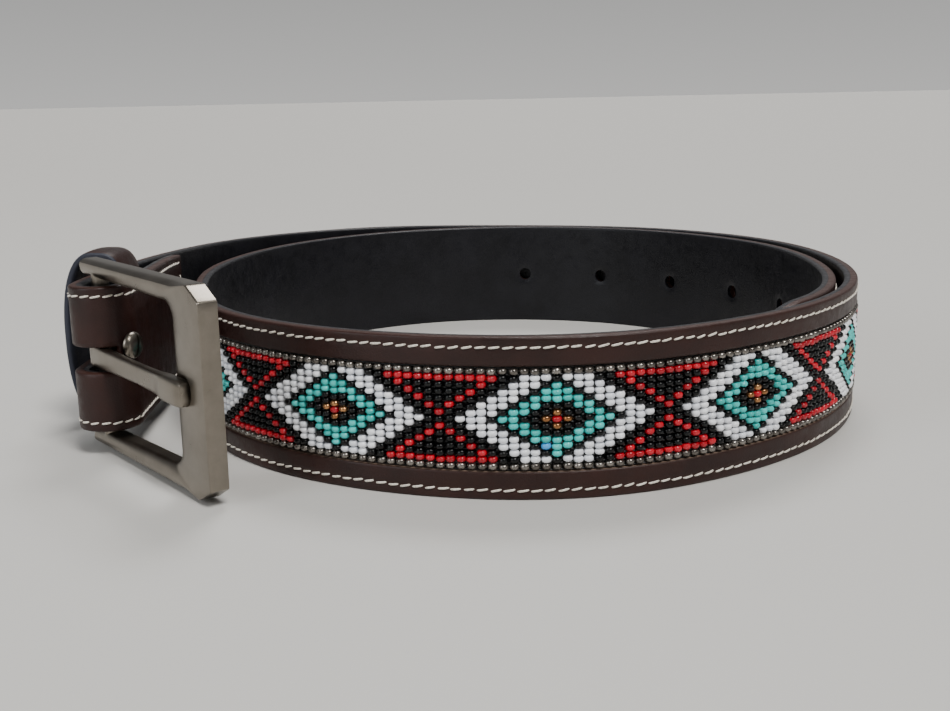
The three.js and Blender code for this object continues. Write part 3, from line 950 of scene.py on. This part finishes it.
@dataclass
class Stitching:
    """The saddle stitches along both edges and across the flap's end."""

    plan: PanelPlan
    inset: float = 2.35
    pitch: float = 3.1
    length: float = 2.75
    radius: float = 0.27
    flatness: float = 0.8
    slant: float = 0.17
    sides: int = 8
    proud: float = 0.12
    sunk: float = 0.3
    end_margin: float = 4.0
    wander: float = 0.07
    seed: int = 7
    profile: tuple[tuple[float, float], ...] = (
        (-1.0, 0.08), (-0.93, 0.6), (-0.62, 0.98), (0, 1.0), (0.62, 0.98), (0.93, 0.6), (1.0, 0.08)
    )  # fmt: skip

    def build(self, material: Material) -> Object:
        """Builds all stitches as one object.

        Args:
            material: The thread.

        Returns:
            The stitches' object.
        """
        route = self.plan.route
        rng = np.random.default_rng(self.seed)
        low = -route.fold_length - route.flap_length + self.inset
        count = int((route.length - self.end_margin - low) / self.pitch)
        station = low + (np.arange(count) + 0.5) * self.pitch
        inward = route.half_width(station + self.inset) - self.inset
        rows = [(station, route.middle + side * inward, 0.0) for side in (-1, 1)]
        across = int((route.width - 2 * self.inset) / self.pitch)
        height = self.inset + (np.arange(1, across) + 0.1) * self.pitch
        rows.append((np.full_like(height, low), height, 1.0))
        parts = []
        for at, high, upright in rows:
            wobble = rng.normal(0, self.wander, (2, len(at)))
            parts.append(self._stitches(at + wobble[0], high + wobble[1], upright, rng))
        points = np.concatenate([p.reshape(-1, 3) for p in parts])
        each = len(self.profile) * self.sides
        faces = np.array([f for f in loft_faces(len(self.profile), self.sides) if len(f) == 4])
        quads = repeat_faces(faces, each, len(points) // each)
        made = make_object("edge_stitches", points, quads, material, 80)
        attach(made, Body.BELT.value)
        return made

    def _stitches(
        self, station: Array, height: Array, upright: float, rng: np.random.Generator
    ) -> Array:
        """Makes a row of stitches.

        Args:
            station: Stations of the stitches' middles.
            height: Their heights.
            upright: One where the row runs across the strap, else zero.
            rng: The seeded source of small differences.

        Returns:
            Points by stitch and place on it.
        """
        long = self.length / 2 * rng.uniform(0.9, 1.04, len(station))[:, None]
        angle = self.slant * rng.uniform(0.5, 1.3, len(station))[:, None] + upright * math.pi / 2
        place, share = np.repeat(np.array(self.profile), self.sides, axis=0).T
        turn = np.tile(turns(self.sides), len(self.profile))
        along = place * long
        across = share * np.cos(turn) * self.radius
        out = share * np.sin(turn) * self.radius * self.flatness + self.proud
        out -= self.sunk * np.abs(place) ** 3
        at = station[:, None] - along * np.cos(angle) + across * np.sin(angle)
        high = height[:, None] + along * np.sin(angle) + across * np.cos(angle)
        return self.plan.route.solid_point(at, -out[None, :], high)


class Bead(Enum):
    """The bead colours, by their letter in the chart."""

    PEWTER = "S"
    BLACK = "K"
    WHITE = "W"
    TURQUOISE = "T"
    RED = "R"
    BRONZE = "G"
    BLUE = "B"


# The chart's columns from the middle of a diamond to the middle of a cross, top row first.
# It runs on by mirroring at both.
CHART = (
    "SKTTTKGRGKTTTKS",
    "SWKTTKKGKKTTKWS",
    "SWWKTTKKKTTKWWS",
    "SWWWKTTKTTKWWWS",
    "SKWWWKTTTKWWWKS",
    "SKKWWWKTKWWWKKS",
    "SRKKWWWKWWWKKRS",
    "SRRKKWWWWWKKRRS",
    "SRKRKKWWWKKRKRS",
    "SRKKRKKWKKRKKRS",
    "SRKKKRKKKRKKKRS",
    "SRKKKKRKRKKKKRS",
)
GLASS = {
    Bead.PEWTER: SeedGlass("glass_pewter_lined", "#918c86", "#65605b", 0.24, 0.9),
    Bead.BLACK: SeedGlass("glass_jet_opaque", "#060608", "#020203", 0.07, 0.0, 0.28),
    Bead.WHITE: SeedGlass("glass_chalk_opaque", "#fbfcff", "#e2e5ec", 0.16),
    Bead.TURQUOISE: SeedGlass("glass_turquoise_opaque", "#4fd2cd", "#2cb0aa", 0.14),
    Bead.RED: SeedGlass("glass_red_opaque", "#cc1028", "#9c0a1c", 0.12),
    Bead.BRONZE: SeedGlass("glass_bronze_coated", "#c69262", "#8a5c38", 0.2, 0.9),
    Bead.BLUE: SeedGlass("glass_sky_opaque", "#4aa3e8", "#4aa3e8", 0.15),
}


@dataclass
class BeadPanel:
    """The loom-woven band of seed beads, with its warp threads."""

    plan: PanelPlan
    column_pitch: float = 2.468
    diameter: float = 2.35
    long_share: float = 0.95
    diamond_turned: float = 296.6
    sides: int = 10
    piece_beads: int = 1200
    seed: int = 11
    uneven: float = 0.055
    wave: float = 0.045
    stray: float = 0.03
    lean: float = 0.045
    sunk: float = 0.325
    warp_sunk: float = 0.25
    blue_place: tuple[int, int] = (1, 11)
    warp_radius: float = 0.17
    warp_sides: int = 5
    warp_steps: int = 260
    backing: tuple[float, float] = (1.75, 2.05)
    profile: tuple[tuple[float, float], ...] = (
        (0.36, 0.98), (0.7, 0.88), (0.93, 0.5), (1.0, 0.0), (0.93, -0.5), (0.7, -0.88),
        (0.36, -0.98),
    )  # fmt: skip
    def columns(self) -> tuple[Array, int]:
        """Stations of the bead columns, and the column in the middle of the front diamond."""
        plan = self.plan
        middle = plan.route.station_at(self.diamond_turned)
        centre = round((middle - plan.start) / self.column_pitch - 0.5)
        count = centre + round((plan.end - middle) / self.column_pitch + 0.5)
        knots = [0, centre + 0.5, count]
        return np.interp(np.arange(count) + 0.5, knots, [plan.start, middle, plan.end]), centre

    def letters(self, count: int, centre: int) -> Array:
        """The chart's letters along the whole panel.

        Args:
            count: How many columns the panel has.
            centre: The column in the middle of the front diamond.

        Returns:
            Letters by column and row.
        """
        period = 2 * (len(CHART) - 1)
        steps = [(column - centre) % period for column in range(count)]
        letters = np.array([list(CHART[min(step, period - step)]) for step in steps])
        letters[centre + self.blue_place[0], self.blue_place[1]] = Bead.BLUE.value
        return letters

    def build(self) -> list[Object]:
        """Builds the beads, one object for each colour and stretch, and their threads.

        Returns:
            The panel's objects.
        """
        station, centre = self.columns()
        letters = self.letters(len(station), centre)
        columns, rows = size = letters.shape
        rng = np.random.default_rng(self.seed)
        route, plan = self.plan.route, self.plan
        share = rng.normal(1, self.uneven, size).clip(0.84, 1.16)
        share /= share.sum(axis=1, keepdims=True)
        tall = share * 2 * plan.half
        height = route.middle + plan.half - np.cumsum(tall, axis=1) + tall / 2
        drift = np.sin(np.arange(rows)[None, :] * 0.55 + rng.uniform(0, 6.3, (columns, 1)))
        station = station[:, None] + self.wave * drift + rng.normal(0, self.stray, size)
        wide = self.diameter * rng.normal(1.03, 0.018, size).clip(0.97, 1.06)
        depth = self.diameter / 2 - self.sunk + rng.normal(0, 0.04, size).clip(-0.08, 0.08)
        tone = rng.uniform(0, 1, size)
        tilt = rng.normal(0, self.lean, (2, *size))
        spin = rng.uniform(0, 1, size)
        measures = np.stack([station, depth, height, wide, tall, tone, spin, *tilt])
        pieces = []
        for colour, finish in GLASS.items():
            material = finish.build()
            chosen = measures[:, letters == colour.value]
            for part, start in enumerate(range(0, chosen.shape[1], self.piece_beads)):
                name = f"beads_{colour.name.lower()}_{part + 1}"
                piece = self._beads(name, chosen[:, start : start + self.piece_beads], material)
                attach(piece, Body.BELT.value)
                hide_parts("bead_band")
                pieces.append(piece)
        return [*pieces, self._warp()]

    def _beads(
        self, name: str, measures: Array, material: Material
    ) -> Object:
        """One object of many beads.

        Args:
            name: The object's name.
            measures: Rows of station, depth, height, diameter, length, tone, spin, and lean
                along and out of the belt, with one column a bead.
            material: The glass.

        Returns:
            The object.
        """
        tone = measures[5]
        station, depth, height, wide, tall, _, spin, *tilt = measures[..., None]
        radius, up = np.repeat(np.array(self.profile), self.sides, axis=0).T
        angle = np.tile(turns(self.sides), len(self.profile)) + spin * 2 * math.pi / self.sides
        radius, up = radius * wide / 2, up * tall / 2 * self.long_share
        along = radius * np.cos(angle) + up * tilt[0]
        out = radius * np.sin(angle) + up * tilt[1]
        point, normal, floor = self.plan.route.place(measures[0])
        tangent = np.stack([normal[:, 1], -normal[:, 0]], axis=1)[:, None]
        normal = normal[:, None]
        plan = point[:, None] + tangent * along[..., None] + normal * (out - depth)[..., None]
        high = floor[:, None] + height + up
        points = np.concatenate([plan, high[..., None]], axis=-1).reshape(-1, 3)
        each = len(self.profile) * self.sides
        quads = repeat_faces(ring_faces(len(self.profile), self.sides), each, len(tone))
        return make_object(name, points, quads, material, 70, {"tone": np.repeat(tone, each)})

    def _warp(self) -> Object:
        """The warp threads between the bead rows, over the thread backing."""
        route, plan = self.plan.route, self.plan
        depth, radius = self.diameter / 2 - self.warp_sunk, self.warp_radius
        lines = np.linspace(plan.start, plan.end, self.warp_steps)
        turn = turns(self.warp_sides)
        thread = np.stack([depth - radius * np.cos(turn), radius * np.sin(turn)])
        heights = [row * plan.row_pitch - plan.half for row in range(plan.rows + 1)]
        sections = [thread + [[0], [height]] for height in heights]
        near, far = self.backing
        sections.append(np.array([[near, near, far, far], plan.half * np.array([-1, 1, 1, -1])]))
        parts, faces, base = [], [], 0
        for deep, high in sections:
            points = route.solid_point(lines[:, None], deep[None, :], route.middle + high[None, :])
            parts.append(points.reshape(-1, 3))
            faces += [[i + base for i in f] for f in loft_faces(len(lines), len(deep))]
            base += len(lines) * len(deep)
        dark = WaxedThread("thread_black_nylon", "#17161a", "#0a0a0c", 0.4)
        made = make_object("bead_warp_threads", np.concatenate(parts), faces, dark.build(), 60)
        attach(made, Body.BELT.value)
        return made


@dataclass
class Keeper:
    """The leather loop beside the buckle, an oval ring round the strap."""

    route: StrapRoute
    wall: float = 2.2
    along: float = 15.0
    back: float = 24.0
    slack: float = 6.9
    bulge: float = 12.0
    rounding: float = 0.54
    free_rounding: float = 0.85
    crown: float = 0.15
    fit_gap: float = 0.3
    steps: int = 120
    section: tuple[tuple[float, float], ...] = (
        (0.0, 0.0), (0.02, 0.55), (0.1, 0.9), (0.3, 1.0), (0.7, 1.0), (0.94, 0.92), (1.0, 0.6),
        (1.0, 0.0),
    )  # fmt: skip

    def build(self, outside: Material, inside: Material) -> Object:
        """Builds the loop.

        Args:
            outside: The leather's grain side.
            inside: Its lining.

        Returns:
            The loop's object.
        """
        route = self.route
        inner = float(route.flap_depth(np.array(self.back + self.along)))
        inner -= route.thickness + 2 * self.fit_gap
        outer = self._oval((self.bulge + inner) / 2, route.middle + self.wall + self.slack / 2)
        inward = side_of(np.roll(outer, -1, axis=0) - np.roll(outer, 1, axis=0))
        section = np.array([*self.section, *[(w, -a) for w, a in self.section[-2:0:-1]]])
        crown = self.crown * (1 - np.clip(section[:, 0] * 3, 0, 1))
        sunk = section[:, 0] * self.wall + crown * section[:, 1] ** 2
        flat = outer[:, None] + inward[:, None] * sunk[None, :, None]
        shift = (self.bulge - inner) / 2
        point, normal, floor = route.place(np.array([self.back + self.along / 2]))
        outward, upward = np.array([*normal[0], 0]), np.array([0, 0, 1])
        along = np.cross(outward, upward)
        points = np.array([*point[0], floor[0] + route.middle]) + (flat[..., :1] + shift) * outward
        points = points + flat[..., 1:] * upward
        points += (section[None, :, 1:] * self.along / 2) * along
        # The rim mark puts the painted edge highlight on both edges of the loop's band.
        rim = np.clip((np.abs(section[:, 1]) - 0.85) * 8, 0, 1)
        faces = ring_faces(self.steps, len(section))
        marks = {"rim": np.tile(rim, self.steps)}
        made = make_object("keeper_loop_leather", points.reshape(-1, 3), faces, outside, 50, marks)
        made.data.materials.append(inside)
        within = section[:, 0] > 0.05
        lined = np.tile(within & np.roll(within, -1), self.steps)
        made.data.polygons.foreach_set("material_index", lined.astype(np.int32))
        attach(made, Body.BELT.value)
        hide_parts("keeper_loop")
        return made

    def _oval(self, wide: float, tall: float) -> Array:
        """The loop's outer line in even steps.

        Args:
            wide: Half the oval's depth.
            tall: Half its height.

        Returns:
            Points out of the belt and up it.
        """
        angle = np.linspace(0, 2 * math.pi, 4001)
        cos, sin = np.cos(angle), np.sin(angle)
        power = np.where(cos > 0, self.free_rounding, self.rounding)
        across, upward = (np.sign(v) * np.abs(v) ** power for v in (cos, sin))
        dense = np.stack([wide * across, tall * upward], axis=1)
        steps = np.linalg.norm(np.diff(dense, axis=0), axis=1)
        travelled = np.concatenate([[0], np.cumsum(steps)])
        at = np.linspace(0, travelled[-1], self.steps, endpoint=False)
        return np.stack([np.interp(at, travelled, dense[:, k]) for k in (0, 1)], axis=1)


@dataclass
class Buckle:
    """The frame with its pivot bar, and the tongue, in axes that start at the pivot.

    X runs along the frame, -Y out of its show face and Z up.
    """

    route: StrapRoute
    reach: float = 63.0
    tail: float = 7.0
    height: float = 50.0
    thickness: float = 5.2
    free_bar: float = 17.5
    arm_at_pivot: float = 4.3
    arm_at_free_bar: float = 5.4
    facet: tuple[float, float] = (6.0, 3.3)
    facet_softness: float = 0.1
    inner_corner: float = 4.5
    bar_radius: float = 2.2
    swing_from_strap: float = 35.0
    notch_depth: float = 10.5
    notch_play: float = 1.3
    tongue_height: float = 6.2
    tongue_wall: float = 1.55
    tongue_tip: float = 6.2
    tongue_proud: float = 5.0
    tongue_lean: tuple[float, float] = (0.35, -0.4)
    tongue_rounding: float = 0.42
    pivot_gap: float = 0.35
    fit_gap: float = 0.3
    bar_inset: float = 2.5
    crease: float = 24.0
    tongue_crease: float = 40.0
    back_bevel: float = 0.45
    ridge_turn: float = 4.0
    arm_ridge: float = 0.35
    bar_ridge: float = 0.025
    arm_side: float = 0.2
    bar_side_more: float = 0.62
    crown: tuple[tuple[float, float], ...] = (
        (1.0, 0.12), (0.98, 0.34), (0.92, 0.54), (0.82, 0.7), (0.66, 0.83), (0.45, 0.92),
        (0.22, 0.98),
    )  # fmt: skip
    brow: tuple[tuple[float, float], ...] = ((0.62, 0.06), (0.3, 0.28), (0.08, 0.62))
    shaft: tuple[tuple[float, float, float], ...] = (
        (0.0, 0.95, 0.78), (0.1, 0.9, 0.78), (0.3, 0.82, 0.74), (0.5, 0.8, 0.72),
        (0.66, 0.84, 0.76), (0.73, 0.9, 0.83), (0.775, 0.99, 0.96), (0.81, 1.03, 1.0),
        (0.94, 1.03, 1.0), (0.975, 0.99, 0.96), (0.995, 0.88, 0.86), (1.0, 0.7, 0.7),
    )  # fmt: skip

    def to_world(self, points: Array) -> Array:
        """Turns points from the buckle's axes to the row's frame.

        Args:
            points: Points from the pivot, three columns.

        Returns:
            The points in the row's frame.
        """
        x, y = self.route.start_normal
        turn = math.atan2(x, -y) + math.radians(self.swing_from_strap)
        points = np.array(points, float)
        return np.column_stack([rotate(points, turn), points[:, 2]]) + self.route.pivot

    def outline(self, reach: float, arms: tuple[float, float], corner: Array) -> Array:
        """A U-shaped outline, from the end of the lower arm to the end of the upper one.

        Args:
            reach: Where the free bar's edge lies.
            arms: Inset of the arm from the frame's edge at the tail and at the free bar.
            corner: Points of the corner, from the arm's side to the free bar's side.

        Returns:
            Points along and above the pivot.
        """
        along = np.linspace(-self.tail, reach - float(corner[:, 0].max()), 16)[:-1]
        along = np.concatenate([along, reach - corner[:, 0]])
        low = np.concatenate([np.zeros(15), corner[:, 1]])
        height = low + np.interp(along, [-self.tail, reach], arms) - self.height / 2
        rise = np.linspace(height[-1], 0, 10)[1:]
        along, height = np.append(along, [reach] * len(rise)), np.append(height, rise)
        half = np.stack([along, height], axis=1)
        return np.concatenate([half, half[-2::-1] * [1, -1]])

    def corners(self) -> tuple[Array, Array]:
        """The outer and the inner corner, as many points each: back from the reach, and in."""
        long, tall = self.facet
        soft = self.facet_softness
        ends = np.array([[long * (1 + soft), 0.0], [long, 0.0], [long * (1 - soft), tall * soft]])
        foot = np.array([[long * soft, tall * (1 - soft)], [0.0, tall], [0.0, tall * (1 + soft)]])
        t = np.linspace(0, 1, 4)[:, None]
        bends = [(1 - t) ** 2 * a + 2 * t * (1 - t) * b + t**2 * c for a, b, c in (ends, foot)]
        outer = np.concatenate([bends[0], np.linspace(ends[2], foot[0], 5)[1:-1], bends[1]])
        turn = np.linspace(0, math.pi / 2, len(outer))
        inner = self.inner_corner * np.stack([1 - np.sin(turn), 1 - np.cos(turn)], axis=1)
        return outer, inner

    def build_frame(self, material: Material) -> Object:
        """Builds the frame and its pivot bar.

        Args:
            material: The plated metal.

        Returns:
            The frame's object.
        """
        outer_corner, inner_corner = self.corners()
        outer = self.outline(self.reach, (0, 0), outer_corner)
        arms = (self.arm_at_pivot, self.arm_at_free_bar)
        inner = self.outline(self.reach - self.free_bar, arms, inner_corner)
        half, corner = self.thickness / 2, self.reach - self.facet[0]
        on_bar = smoothstep(outer[:, 0], corner - self.ridge_turn, corner)
        ridges = self.arm_ridge + (self.bar_ridge - self.arm_ridge) * on_bar
        sides = self.arm_side + self.bar_side_more * on_bar
        rings = []
        for start, across, ridge, side in zip(outer, inner - outer, ridges, sides):
            section = [
                (1.0, half - self.back_bevel),
                *[(ridge + share * (1 - ridge), -half * deep) for share, deep in self.crown],
                (ridge + 0.01, -half),
                *[(ridge * share, -half * (1 - fall * (1 - side))) for share, fall in self.brow],
                (0.0, -half * side),
                (0.0, half - self.back_bevel),
                (0.05, half),
                (0.95, half),
            ]
            flat = [start + across * share for share, _ in section]
            rings += [[x, deep, z] for (x, z), (_, deep) in zip(flat, section)]
        faces = loft_faces(len(outer), len(section))
        points = self.to_world(rings)
        made = make_object("buckle_frame_metal", points, faces, material, self.crease)
        tools = [(self._bar(material), Carve.ADD), (self._notch(material), Carve.CUT)]
        combine(made, tools, self.crease)
        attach(made, Body.BUCKLE.value)
        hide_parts("buckle_frame")
        return made

    def _bar(self, material: Material) -> Object:
        """The upright rod round the pivot.

        Args:
            material: The plated metal.

        Returns:
            The rod's object.
        """
        turn, half = turns(40), self.height / 2 - self.bar_inset
        ring = self.bar_radius * np.stack([np.cos(turn), np.sin(turn)], axis=1)
        rings = [np.column_stack([ring, np.full(len(ring), z)]) for z in (-half, half)]
        points = self.to_world(np.concatenate(rings))
        return make_object("pivot_bar", points, loft_faces(2, len(ring)), material)

    @property
    def tongue_back(self) -> float:
        """How far the tongue's back lies towards the show face from the pivot."""
        return (self.bar_radius + self.pivot_gap) / 2

    def _notch(self, material: Material) -> Object:
        """The cutter of the tongue's seat: a round end that opens into the frame's window.

        Args:
            material: The plated metal.

        Returns:
            The cutter's object.
        """
        radius = self.tongue_tip / 2 + 2 * self.fit_gap
        middle = self.reach - self.free_bar + self.notch_depth - radius
        turn = np.linspace(-math.pi / 2, math.pi / 2, 25)
        plan = radius * np.stack([np.cos(turn), np.sin(turn)], axis=1)
        plan = np.concatenate([plan, [[-self.notch_depth, radius], [-self.notch_depth, -radius]]])
        floor, brim = self.fit_gap - self.tongue_back, 0.25 - self.thickness / 2
        rings = []
        for depth, flare in ((floor, 0.0), (brim, 0.0), (-self.thickness, 0.35)):
            x, z = (plan * (1 + flare / radius)).T
            rings.append(np.column_stack([middle + x, np.full(len(plan), depth), z]))
        points = self.to_world(np.concatenate(rings))
        return make_object("notch_cutter", points, loft_faces(3, len(plan)), material)

    def build_tongue(self, material: Material) -> Object:
        """Builds the tongue: an eye round the bar, a shaft and a blocky tip.

        Args:
            material: The plated metal.

        Returns:
            The tongue's object.
        """
        eye_in = self.bar_radius + self.pivot_gap
        eye_out = eye_in + self.tongue_wall
        end = self.reach - self.free_bar + self.notch_depth - self.notch_play
        start = eye_in + self.fit_gap
        depth = self.tongue_proud - self.tongue_back
        spans = [(0.0, 0.96, eye_in + 0.15, eye_out), (0.55 * start, 0.96, 0.86 * eye_in, eye_out)]
        for share, tall, deep in self.shaft:
            front = self.tongue_back + deep * depth
            spans.append((start + (end - start) * share, tall, self.tongue_back, front))
        turn = turns(24)
        waves = (np.cos(turn), np.sin(turn))
        across, upward = (np.sign(w) * np.abs(w) ** self.tongue_rounding for w in waves)
        rings = []
        for x, tall, back, front in spans:
            lean = self.tongue_lean[0] + (self.tongue_lean[1] - self.tongue_lean[0]) * x / end
            out = -(back + front) / 2 + (front - back) / 2 * across
            high = tall * self.tongue_tip / 2 * upward + lean
            rings.append(np.column_stack([np.full(len(turn), x), out, high]))
        points, faces = self.to_world(np.concatenate(rings)), loft_faces(len(rings), len(turn))
        made = make_object("buckle_tongue_metal", points, faces, material, self.tongue_crease)
        combine(made, [(self._eye(eye_in, eye_out, material), Carve.ADD)], self.tongue_crease)
        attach(made, Body.TONGUE.value)
        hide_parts("buckle_tongue")
        return made

    def _eye(self, inside: float, outside: float, material: Material) -> Object:
        """The tongue's eye, a rounded ring round the pivot bar.

        Args:
            inside: Its bore's radius.
            outside: Its outer radius.
            material: The plated metal.

        Returns:
            The eye's object.
        """
        high, edge, soft = self.tongue_height / 2, 0.2, 0.9
        upper = [
            (outside, high - soft),
            (outside - 0.3 * soft, high - 0.3 * soft),
            (outside - soft, high),
            (inside + edge, high),
            (inside, high - edge),
        ]
        profile = [*[(r, -z) for r, z in upper[::-1]], *upper]
        turn = turns(48)
        rings = [[(r * math.cos(t), r * math.sin(t), z) for r, z in profile] for t in turn]
        points = self.to_world(np.array(rings).reshape(-1, 3))
        return make_object("tongue_eye", points, ring_faces(len(turn), len(profile)), material)


@dataclass
class ChapeScrew:
    """The domed screw on the fold, with a driver's slot."""

    route: StrapRoute
    bearing: float = 25.0
    rise: float = 3.0
    head_radius: float = 3.6
    head_height: float = 2.2
    shank_radius: float = 1.5
    fit_gap: float = 0.05
    crease: float = 30.0
    slot_half: float = 0.38
    slot_floor: float = 1.35
    slot_degrees: float = 58.0
    dome: tuple[tuple[float, float], ...] = (
        (0.25, 0.985), (0.5, 0.92), (0.72, 0.79), (0.88, 0.58), (0.97, 0.34), (1.0, 0.12)
    )  # fmt: skip

    def build(self, material: Material) -> Object:
        """Builds the screw.

        Args:
            material: The plated metal.

        Returns:
            The screw's object.
        """
        route = self.route
        station = np.array([-route.fold_length * (1 - self.bearing / 180)])
        point, normal, floor = route.place(station)
        outward = Vector((*normal[0], 0))
        turn = Vector((0, 0, 1)).rotation_difference(outward).to_matrix()
        centre = Vector((*point[0], floor[0] + route.middle + self.rise))
        matrix = Matrix.Translation(centre) @ turn.to_4x4()
        rise, gap = self.head_height, self.fit_gap
        profile = [(r * self.head_radius, gap + z * rise) for r, z in self.dome]
        profile += [(self.head_radius * 0.98, gap), (self.shank_radius, gap)]
        profile.append((self.shank_radius, -route.thickness))
        angle = turns(48)
        points = [(r * math.cos(t), r * math.sin(t), z) for r, z in profile for t in angle]
        faces = [face[::-1] for face in loft_faces(len(profile), len(angle))]
        placed = np.array([(matrix @ Vector(p))[:] for p in points])
        made = make_object("chape_screw_metal", placed, faces, material, self.crease)
        combine(made, [(self._slot(matrix, material), Carve.CUT)], self.crease)
        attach(made, Body.BELT.value)
        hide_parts("chape_screw")
        return made

    def _slot(self, matrix: Matrix, material: Material) -> Object:
        """The cutter of the driver's slot.

        Args:
            matrix: The screw's place.
            material: The plated metal.

        Returns:
            The cutter's object.
        """
        half, long = self.slot_half, self.head_radius * 1.2
        spin = Matrix.Rotation(math.radians(self.slot_degrees), 4, "Z")
        ring = [(-half, -long), (half, -long), (half, long), (-half, long)]
        corners = [(x, y, z) for z in (self.slot_floor, 4.0) for x, y in ring]
        placed = np.array([(matrix @ spin @ Vector(c))[:] for c in corners])
        return make_object("slot_cutter", placed, loft_faces(2, 4), material)


class LampKind(Enum):
    """The kinds of light in the studio."""

    SUN = "SUN"
    SOFT_BOX = "AREA"


@dataclass(frozen=True)
class Lamp:
    """One light: an even one from far away, or a soft box near the belt.

    Its width is in degrees for a sun and in metres for a soft box.
    """

    name: str
    kind: LampKind
    place: tuple[float, float, float]
    width: float
    power: float
    tint: tuple[float, float, float]
    aim_height: float = 0.0

    def build(self) -> None:
        """Adds the light and turns it to the belt."""
        data = bpy.data.lights.new(self.name, self.kind.value)
        if self.kind is LampKind.SUN:
            data.angle = math.radians(self.width)
        else:
            data.shape = "SQUARE"
            data.size = self.width
        data.energy = self.power
        data.color = self.tint
        light = bpy.data.objects.new(self.name, data)
        aim = Vector((0, 0, self.aim_height)) - Vector(self.place)
        turn = aim.to_track_quat("-Z", "Y").to_matrix().to_4x4()
        light.matrix_world = Matrix.Translation(self.place) @ turn
        bpy.context.scene.collection.objects.link(light)


@dataclass
class Studio:
    """The floor, the lights and the camera."""

    camera_place: tuple[float, float, float] = (0.0003, -0.3786, 0.0909)
    pitch_down: float = 12.29
    roll: float = -1.18
    focal_pixels: float = 1200.0
    image_width: float = 950.0
    sensor: float = 36.0
    floor_half: float = 20000.0
    air: tuple[tuple[float, str], ...] = (
        (0.0, "#f6f5f3"), (0.14, "#c9c9c8"), (0.4, "#7c7c7e"), (0.9, "#b9b9b8")
    )  # fmt: skip
    air_strength: float = 0.6
    lamps: tuple[Lamp, ...] = (
        Lamp("key", LampKind.SUN, (0.3, -0.45, 0.8), 18.0, 2.9, (1.0, 0.985, 0.96)),
        Lamp("fill", LampKind.SOFT_BOX, (-0.7, -0.6, 0.45), 0.4, 3.0, (0.94, 0.97, 1.0), 0.02),
        Lamp("rim", LampKind.SUN, (0.12, 0.55, 0.82), 20.0, 1.2, (1.0, 1.0, 1.0)),
    )

    def build(self) -> None:
        """Builds the camera, the floor, the lights and the air."""
        self._camera()
        corners = [(-1, -1, 0), (1, -1, 0), (1, 1, 0), (-1, 1, 0)]
        points = self.floor_half * np.array(corners, float)
        ground = make_object("studio_floor", points, [[0, 1, 2, 3]], MattPaint().build())
        for lamp in self.lamps:
            lamp.build()
        world = bpy.data.worlds.new("studio_air")
        world.use_nodes = True
        tree = world.node_tree
        tree.nodes.clear()
        add_node(tree, "aim", "TexCoord", {}, {})
        add_node(tree, "height", "SeparateXYZ", {}, {"Vector": "aim.Generated"})
        add_node(tree, "tint", "ValToRGB", {"stops": self.air}, {"Fac": "height.Z"})
        strength = {"Strength": self.air_strength}
        add_node(tree, "air", "Background", strength, {"Color": "tint.Color"})
        add_node(tree, "out", "OutputWorld", {}, {"Surface": "air.Background"})
        bpy.context.scene.world = world

    def _camera(self) -> None:
        """Places the camera at the fitted viewpoint."""
        data = bpy.data.cameras.new("camera")
        data.sensor_width = self.sensor
        data.lens = self.focal_pixels / self.image_width * self.sensor
        data.clip_start = 0.01
        data.clip_end = 20.0
        camera = bpy.data.objects.new("camera", data)
        pitch = Matrix.Rotation(math.radians(90 - self.pitch_down), 4, "X")
        roll = Matrix.Rotation(math.radians(self.roll), 4, "Z")
        camera.matrix_world = Matrix.Translation(self.camera_place) @ pitch @ roll
        bpy.context.scene.collection.objects.link(camera)
        bpy.context.scene.camera = camera


def main() -> None:
    """Builds the belt piece by piece, then the studio."""
    logging.basicConfig(level=logging.INFO, format="%(message)s")
    # Each leather's fourth colour is its painted edge highlight.
    brown = GrainLeather("cowhide_brown_dyed", "#22110e", "#321a15", "#3e261f", 0.42).build()
    black = GrainLeather("cowhide_black_lining", "#0e0e12", "#17171c", "#1b1b20", 0.38, 0.9).build()
    slate = GrainLeather("cowhide_slate_flesh", "#1c1d23", "#292b34", "#373a46", 0.55, 1.1).build()
    nickel = SatinNickel().build()
    route = StrapRoute()
    plan = PanelPlan(route)
    LOG.info("strap %.1f mm long, panel to %.1f mm", route.length, plan.end)
    top = StrapPly(plan, Ply.TOP, face=0.0, back=2.08).build(brown)
    lining = StrapPly(plan, Ply.LINING, face=3.75, back=2.12).build(black)
    pieces = [top, lining, Stitching(plan).build(WaxedThread().build())]
    pieces += BeadPanel(plan).build()
    buckle = Buckle(route)
    pieces.append(Keeper(route).build(brown, slate))
    pieces += [buckle.build_frame(nickel), buckle.build_tongue(nickel)]
    pieces.append(ChapeScrew(route).build(nickel))
    for piece in pieces:
        LOG.info("%s: %d faces", piece.name, len(piece.data.polygons))
    Studio().build()


if __name__ == "__main__":
    main()
